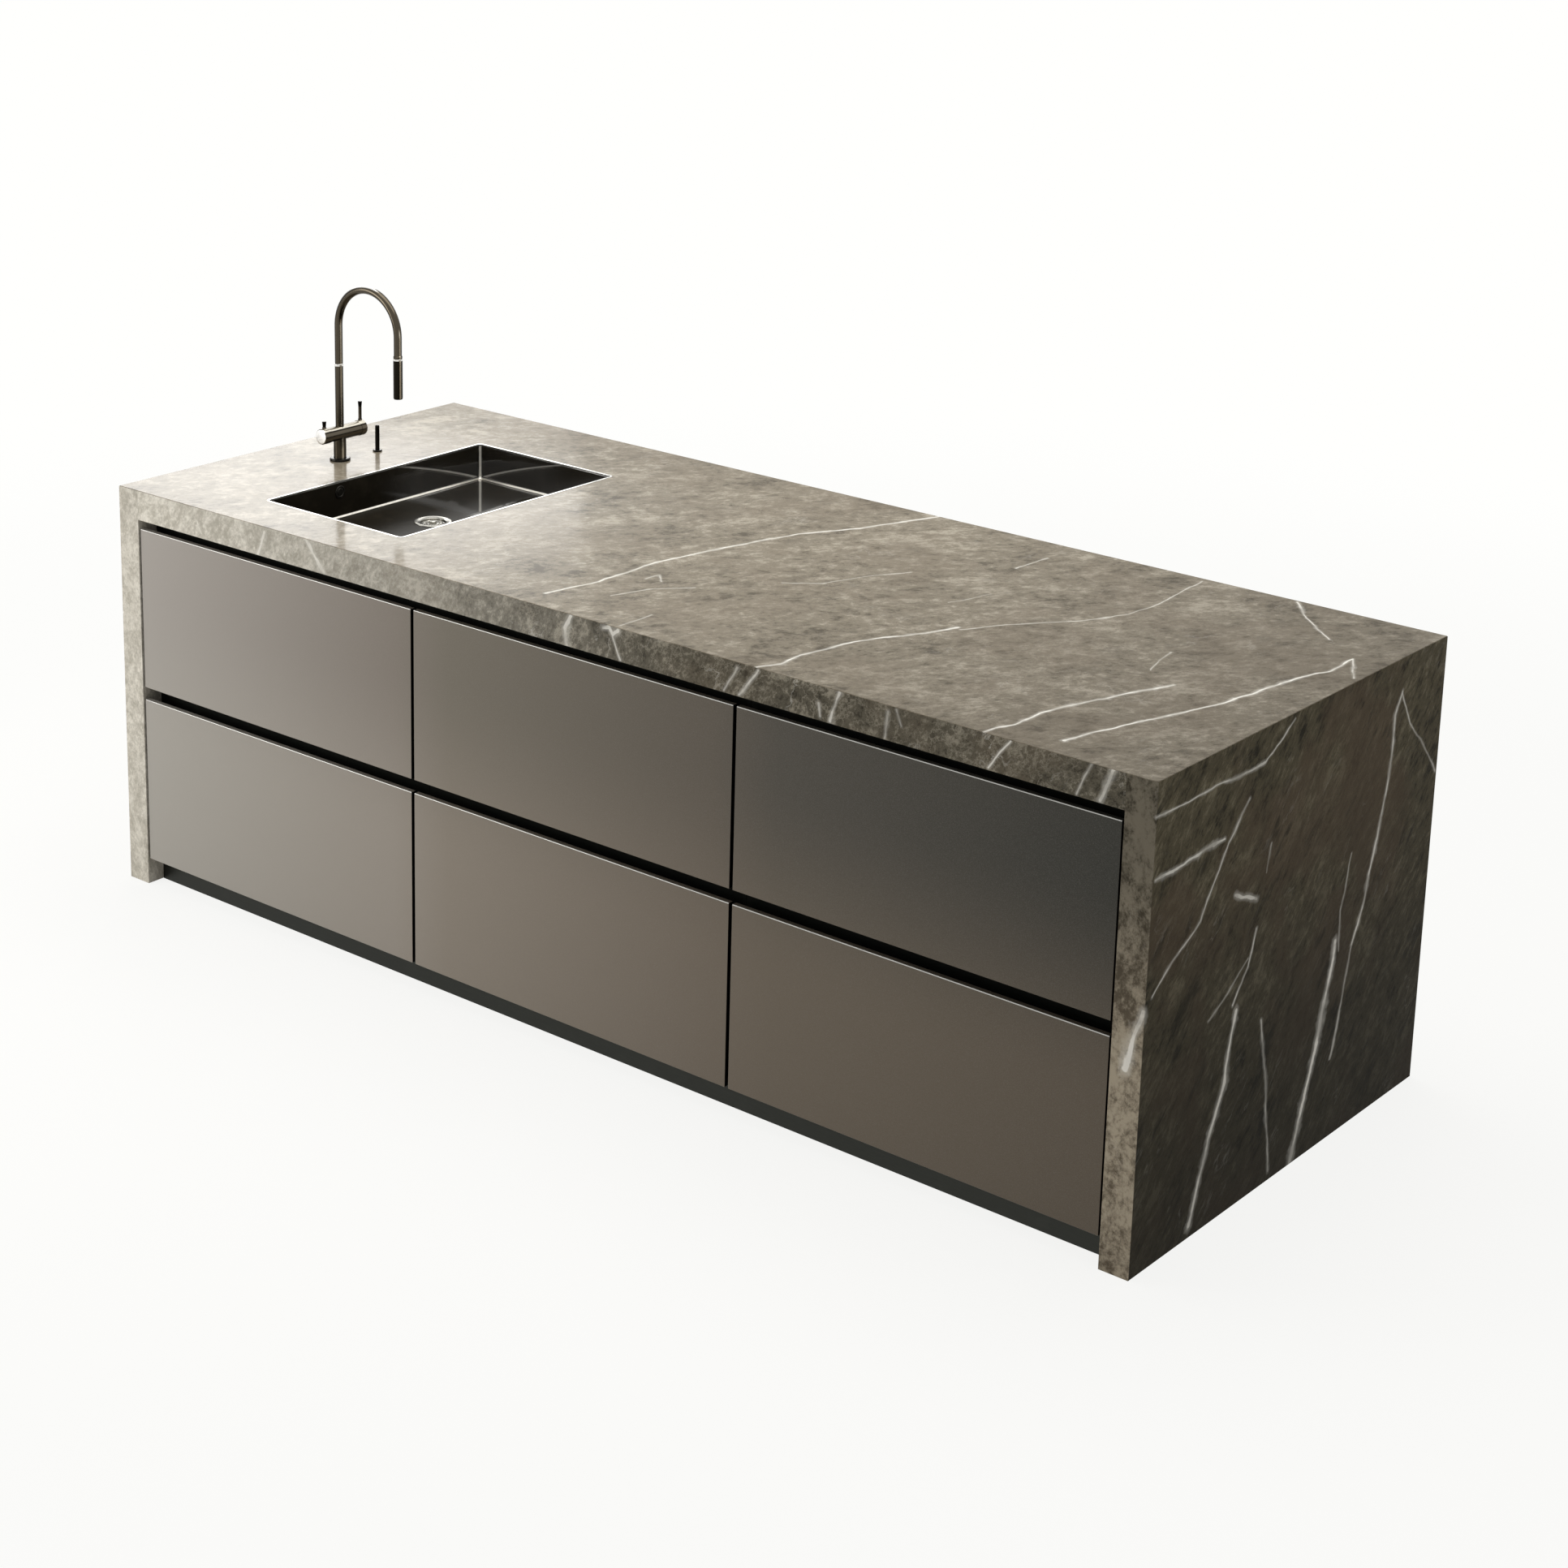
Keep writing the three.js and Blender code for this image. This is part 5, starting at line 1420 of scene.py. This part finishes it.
    def waste(self) -> None:
        """Turns the drain's body with its rolled flange, and the plug with its rings."""
        Piece("drain", "island", "polished_steel", (DRAIN,), ("drain_body",)).turned(
            Turning(self.drain, (
                (16, -78), (19, -78), (19, -48), (30, -48), (30, 0.3), (42, 0.3), (41.4, 1.5),
                (39.6, 2.25), (36, 2.3), (31, 1.5), (28, 0.9), (27, 0), (27, -7), (22, -7),
                (22, -45), (16, -45), (16, -78),
            )), easing=0.0004,
        )
        Piece("plug_cap", "plug", "polished_steel", (DRAIN,), ("drain_plug",)).turned(
            Turning(self.drain, (
                (0, -36.7), (4, -36.7), (4, -6.7), (26.4, -6.7), (26.4, -3.6), (25.4, -2.75),
                (22.5, -2.75), (21.5, -4.2), (18, -4.6), (14.5, -4.2), (13.5, -2.8), (8.2, -2.75),
                (8, 1.5), (7, 2.2), (0, 2.3),
            )), easing=0.0003,
        )

    def overflow(self) -> None:
        """Turns the overflow cover, with a groove round its middle."""
        across, below = self.overflow_at
        foot = Vector((self.middle.x - self.width / 2, across, self.middle.z - below))
        Piece("overflow_disc", "island", "polished_steel", (FAINT,), ("overflow_cover",)).turned(
            Turning(foot, (
                (0, -3), (8.7, -3), (8.7, 0.3), (14, 0.3), (14, 1.2), (13.2, 1.9), (10, 2),
                (9.4, 1.3), (8.6, 1.3), (8, 2), (0, 2),
            ), (1, 0, 0), 48), easing=0.0002,
        )


# ---------------------------------------------------------------- tap and knob


@dataclass
class Tap:
    """The two-lever mixer with its swivelling swan neck and pull-down spray.

    Attributes:
        foot: where its axis meets the worktop.
        bar: height of the cross bar's axis.
        neck: height where the swan neck begins.
        tangent: height where its arch starts.
        dock: height of the end of the spout.
        tube: radius of the swan neck's tube.
        inlets: how far each inlet lies from the tap's axis.
        stowed: length of the hose inside the spout.
        hose_radius: of the hose.
        hose_rings: rings along the hose.
    """

    foot: Vector
    bar: float = 0.063
    neck: float = 0.2213
    tangent: float = 0.3075
    dock: float = 0.262
    tube: float = 0.0089
    inlets: float = 0.0065
    stowed: float = 0.0405
    hose_radius: float = 0.005
    hose_rings: int = 40

    @property
    def cross(self) -> Vector:
        """Where the axes of the tap and of its cross bar meet."""
        return self.foot + Vector((0, 0, self.bar))

    @property
    def mouth(self) -> Vector:
        """The point on the worktop below the spout's end."""
        return self.foot + Vector((2 * ARCH, 0, 0))

    def build(self) -> None:
        """Makes every part of the tap."""
        self.base()
        self.body()
        self.lever("front", -1, 36, 22, 34)
        self.lever("rear", 1, 54, 17, 61)
        self.collar()
        self.spout()
        self.spray()
        self.hose()
        dress(RUNNER, "tap_nut")

    def base(self) -> None:
        """Turns the base ring."""
        Piece("tap_ring", "island", "tap_steel", (KNOB_METAL,), ("tap_base_ring",)).turned(
            Turning(self.foot, (
                (14.3, 0.3), (23, 0.3), (23, 3.6), (22.2, 5.2), (20.6, 6), (14.3, 6), (14.3, 0.3),
            )), easing=0.0004,
        )

    def body(self) -> None:
        """Turns the post with its inlets and column, and the cross bar with its spindles."""
        inlet = ((0, -99), (5, -99), (5, -84), (0, -84))
        finishes = (TAP_UPRIGHT, TAP_CROSS)
        made = Piece("tap_post", "island", "tap_steel", finishes, ("tap_body",)).turned(
            Turning(self.foot, ((0, -85), (13.5, -85), (13.5, 0), (14, 0), (14, 62), (0, 62))),
            Turning(self.foot, (
                (0, 60), (9.3, 60), (9.3, 215), (5.5, 215), (5.5, 245), (0, 245),
            )),
            Turning(self.foot - Vector((0, self.inlets, 0)), inlet, steps=24),
            Turning(self.foot + Vector((0, self.inlets, 0)), inlet, steps=24),
            Turning(self.cross, (
                (0, -46), (6, -46), (6, -36), (16.5, -36), (16.5, 54), (6, 54), (6, 64), (0, 64),
            ), (0, 1, 0), 72), easing=0.0005,
        )
        for face in made.data.polygons:
            on_bar = abs(face.center.z - self.cross.z) < 0.018
            face.material_index = 1 if on_bar else 0

    def lever(self, name: str, side: int, end: float, reach: float, rise: float) -> None:
        """Turns one cap of the cross bar, with its pin.

        Args:
            name: which lever it is.
            side: -1 towards the front, 1 towards the rear.
            end: from the tap's axis to the end of the fixed bar, in millimetres.
            reach: length of the cap, in millimetres.
            rise: from the bar's axis to the tip of the pin, in millimetres.
        """
        cross = self.foot + Vector((0, side * (end * MM), self.bar))
        cap = Turning(cross, (
            (0, 10.3), (6.3, 10.3), (6.3, 0.3), (17, 0.3), (17.5, 0.8), (17.5, reach - 3),
            (17, reach - 1.6), (15.9, reach - 0.5), (14.5, reach), (0, reach),
        ), (0, side, 0), 72)
        pin = Turning(cross + Vector((0, side * (reach * MM) / 2, 0)), (
            (0, 8.75), (4.8, 8.75), (4.8, 19.5), (3.8, 21.5), (3.8, rise - 12), (4.8, rise - 1),
            (4.2, rise - 0.3), (3.6, rise), (0, rise),
        ), steps=40)
        finishes = (TAP_CAP, CAP, KNOB_METAL)
        body, node = f"{name}_handle", f"lever_{name}"
        piece = Piece(f"lever_cap_{name}", body, "tap_steel", finishes, (node,))
        for face in piece.turned(cap, pin, easing=0.0003, sharper=40).data.polygons:
            outward = side * (face.center.y - cross.y) / MM
            high = (face.center.z - cross.z) / MM
            if high > rise - 9 or 18 < high < 20.6:
                face.material_index = 2
            else:
                face.material_index = 1 if outward > reach - 0.6 and abs(high) < 17 else 0

    def collar(self) -> None:
        """Turns the bright collar between column and neck."""
        Piece("collar", "island", "polished_steel", (BRIGHT,), ("spout_collar",)).turned(
            Turning(self.foot, (
                (5.8, 215.3), (9.4, 215.3), (9.9, 215.9), (9.9, 220.4), (9.4, 221), (5.8, 221),
                (5.8, 215.3),
            )), easing=0.0002,
        )

    def spout(self) -> None:
        """Draws the tube up, spins it over the arch, drops it, and adds the dock."""
        mesh = bmesh.new()
        circle(mesh, self.tube, 40, self.foot + Vector((0, 0, self.neck)))
        rim = draw_out(mesh, list(mesh.edges), Vector((0, 0, self.tangent - self.neck)))
        centre = self.foot + Vector((ARCH, 0, self.tangent))
        spun = bmesh.ops.spin(
            mesh, geom=rim, cent=centre, axis=(0, 1, 0), dvec=(0, 0, 0), angle=math.pi, steps=64,
            use_merge=False, use_duplicate=False,
        )["geom_last"]
        last = [part for part in spun if isinstance(part, BMEdge)]
        end = draw_out(mesh, last, Vector((0, 0, self.dock + 0.001 - self.tangent)))
        bmesh.ops.contextual_create(mesh, geom=end)
        Turning(self.mouth, (
            (5.4, 262), (9.5, 262), (9.9, 262.5), (9.9, 267.5), (9.5, 268), (8.5, 268.4),
            (8.5, 264), (5.4, 264), (5.4, 262),
        ), steps=48).add(mesh)
        tidy(mesh)
        Piece("swan_neck", "spout", "tap_steel", (TAP_UPRIGHT,), ("tap_spout",)).place(mesh)

    def spray(self) -> None:
        """Turns the spray head with a bright ring at its top and a recessed nozzle."""
        finishes = (TAP_SPRAY, BRIGHT)
        made = Piece("spray", "spray", "tap_steel", finishes, ("spray_head",)).turned(
            Turning(self.mouth, (
                (0, 174.2), (3, 174.2), (3.4, 173.6), (5.2, 173.6), (5.6, 174.2), (7.4, 174.2),
                (7.6, 171.7), (9.3, 171.7), (9.6, 172), (10.4, 174.7), (10.4, 256.8),
                (10.1, 257.1), (10.1, 257.7), (10.4, 258), (10.4, 261.2), (9.9, 261.7), (0, 261.7),
            )), easing=0.0002,
        )
        for face in made.data.polygons:
            face.material_index = 1 if face.center.z > self.foot.z + 0.2578 else 0

    def hose(self) -> None:
        """Makes the hose as a fixed tube in the end of the spout, where the real one is drawn out
        with the spray head.
        """
        mesh = bmesh.new()
        low = self.mouth + Vector((0, 0, self.dock))
        circle(mesh, self.hose_radius, 24, low)
        loop = list(mesh.edges)
        for _ in range(self.hose_rings):
            loop = draw_out(mesh, loop, Vector((0, 0, self.stowed / self.hose_rings)))
        bmesh.ops.contextual_create(mesh, geom=loop)
        tidy(mesh)
        made = Piece("hose_jacket", "", "hose", (BRAID,)).place(mesh)
        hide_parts("spray_hose")
        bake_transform(made)


@dataclass
class WasteKnob:
    """The knob behind the tap that lifts the plug.

    Attributes:
        foot: where its axis meets the worktop.
    """

    foot: Vector

    def build(self) -> None:
        """Turns the base with its guide, and the knob with its rod."""
        Piece("knob_seat", "island", "tap_steel", (KNOB_METAL,), ("knob_base",)).turned(
            Turning(self.foot, (
                (4.3, -52), (6.5, -52), (6.5, 0.3), (10.5, 0.3), (10.5, 2.4), (10, 3.4), (9, 4),
                (4.3, 4), (4.3, -52),
            ), steps=48), easing=0.0003,
        )
        Piece("knob_pull", "knob", "tap_steel", (KNOB_METAL,), ("waste_knob",)).turned(
            Turning(self.foot, (
                (0, -62), (4, -62), (4, 4.3), (5, 4.3), (5, 58.3), (4.6, 59.8), (3.5, 60.7),
                (2.2, 61), (0, 61),
            ), steps=48), easing=0.0002,
        )


# ---------------------------------------------------------------- studio


@dataclass(frozen=True)
class PaleFloor(Finish):
    """The floor: pale, and nearly white to the camera while it keeps the shadow."""

    shade: Colour = (0.93, 0.925, 0.91)
    fleck: Colour = (0.89, 0.885, 0.87)
    glow: float = 0.86

    def build(self, graph: Graph) -> None:
        """Mixes a pale matt floor with white light for what looks at it, more so far away."""
        place = graph.place()
        away = graph.vector("LENGTH", place, output=1).ease(1.6, 5.0)
        seen = graph.seen() * (away * (1.0 - self.glow) + self.glow)
        colour = (graph.noise(place, 2.0, 3.0) * 0.15).mix(self.shade, self.fleck)
        matt = graph.node("ShaderNodeBsdfDiffuse", None, {"Color": colour})
        white = graph.node("ShaderNodeEmission", None, {"Color": WHITE, "Strength": 1.0})
        graph.close(graph.node("ShaderNodeMixShader", None, {0: seen, 1: matt, 2: white}))


@dataclass(frozen=True)
class Lamp:
    """One soft area lamp.

    Attributes:
        name: of the lamp.
        place: its middle.
        target: what it points at.
        size: width and height.
        power: in watts.
        colour: of its light.
    """

    name: str
    place: Point
    target: Point
    size: tuple[float, float]
    power: float
    colour: Colour = (1.0, 0.985, 0.96)

    def hang(self) -> None:
        """Adds the lamp to the scene."""
        light = bpy.data.lights.new(self.name, "AREA")
        light.shape = "RECTANGLE"
        light.size, light.size_y = self.size
        light.energy = self.power
        light.color = self.colour
        lamp = bpy.data.objects.new(self.name, light)
        lamp.visible_camera = False
        lamp.location = self.place
        aim = Vector(self.target) - Vector(self.place)
        lamp.rotation_euler = aim.to_track_quat("-Z", "Y").to_euler()
        bpy.context.scene.collection.objects.link(lamp)


@dataclass
class Studio:
    """Floor, sky, lamps and camera.

    Attributes:
        eye: the camera's place.
        azimuth: its turn round the unit, in degrees.
        elevation: its look down, in degrees.
        roll: its lean, in degrees.
        lens: in millimetres on a 36 mm sensor.
        shift: of the frame, across and up.
        fill: strength of the sky as a light.
    """

    eye: Vector
    azimuth: float = 39.71
    elevation: float = 14.88
    roll: float = 1.07
    lens: float = 69.45
    shift: tuple[float, float] = (0.0600, -0.2125)
    fill: float = 0.40

    def build(self) -> None:
        """Sets up the camera, then the floor and the light."""
        self.camera()
        self.floor()
        self.sky()
        for lamp in (
            Lamp("overhead", (-0.2, 0.4, 3.8), (0, 0, 0.9), (3.6, 2.2), 78.0),
            Lamp("left_window", (-5.2, 3.7, 2.6), (-0.9, 0.0, 0.9), (2.2, 2.2), 46.0),
            Lamp("left_front", (-3.0, -2.8, 1.5), (-1.0, -0.5, 0.5), (1.8, 1.6), 50.0),
        ):
            lamp.hang()
        bpy.context.scene.view_settings.view_transform = "Standard"

    def camera(self) -> None:
        """Puts the camera where the photograph was taken from."""
        turn, tilt, lean = (math.radians(a) for a in (self.azimuth, self.elevation, self.roll))
        ahead = Vector(
            (-math.sin(turn) * math.cos(tilt), math.cos(turn) * math.cos(tilt), -math.sin(tilt))
        )
        right = ahead.cross(UP).normalized()
        upward = right.cross(ahead)
        across = right * math.cos(lean) + upward * math.sin(lean)
        upright = upward * math.cos(lean) - right * math.sin(lean)
        data = bpy.data.cameras.new("camera")
        data.lens = self.lens
        data.sensor_width = 36.0
        data.shift_x, data.shift_y = self.shift
        data.clip_start, data.clip_end = 0.05, 400.0
        camera = bpy.data.objects.new("camera", data)
        turned = Matrix((across, upright, -ahead)).transposed().to_4x4()
        camera.matrix_world = Matrix.Translation(self.eye) @ turned
        bpy.context.scene.collection.objects.link(camera)
        bpy.context.scene.camera = camera

    def floor(self) -> None:
        """Lays the floor, a hair below the unit's feet."""
        mesh = bmesh.new()
        place = Matrix.Translation((0, 0, -0.0003))
        bmesh.ops.create_grid(mesh, x_segments=1, y_segments=1, size=60.0, matrix=place)
        made = Piece("studio_floor", "", "", (PaleFloor("floor_pale"),), smooth=0.0).place(mesh)

    def sky(self) -> None:
        """Lights evenly from all round, and is white to what looks at it."""
        world = bpy.data.worlds.new("sky")
        bpy.context.scene.world = world
        graph = Graph(world)
        levels = {"Value": graph.seen(), "To Min": self.fill, "To Max": 1.0}
        strength = graph.node("ShaderNodeMapRange", None, levels)
        light = graph.node("ShaderNodeBackground", None, {"Color": WHITE, "Strength": strength})
        graph.close(light, "ShaderNodeOutputWorld")


# ---------------------------------------------------------------- the unit


def main() -> None:
    """Builds the studio and the unit."""
    logging.basicConfig(level=logging.INFO, format="%(name)s: %(message)s")
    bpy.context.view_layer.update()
    assemblies = (
        Studio(Vector((3.6548, -4.5576, 2.6734))),
        Cladding(),
        Carcass(),
        Drawers(),
        Sink(Vector((-0.782, -0.050, 0.905))),
        Tap(Vector((-1.112, -0.040, 0.905))),
        WasteKnob(Vector((-1.106, 0.070, 0.905))),
    )
    for assembly in assemblies:
        LOG.info("building the %s", type(assembly).__name__)
        assembly.build()


if __name__ == "__main__":
    main()
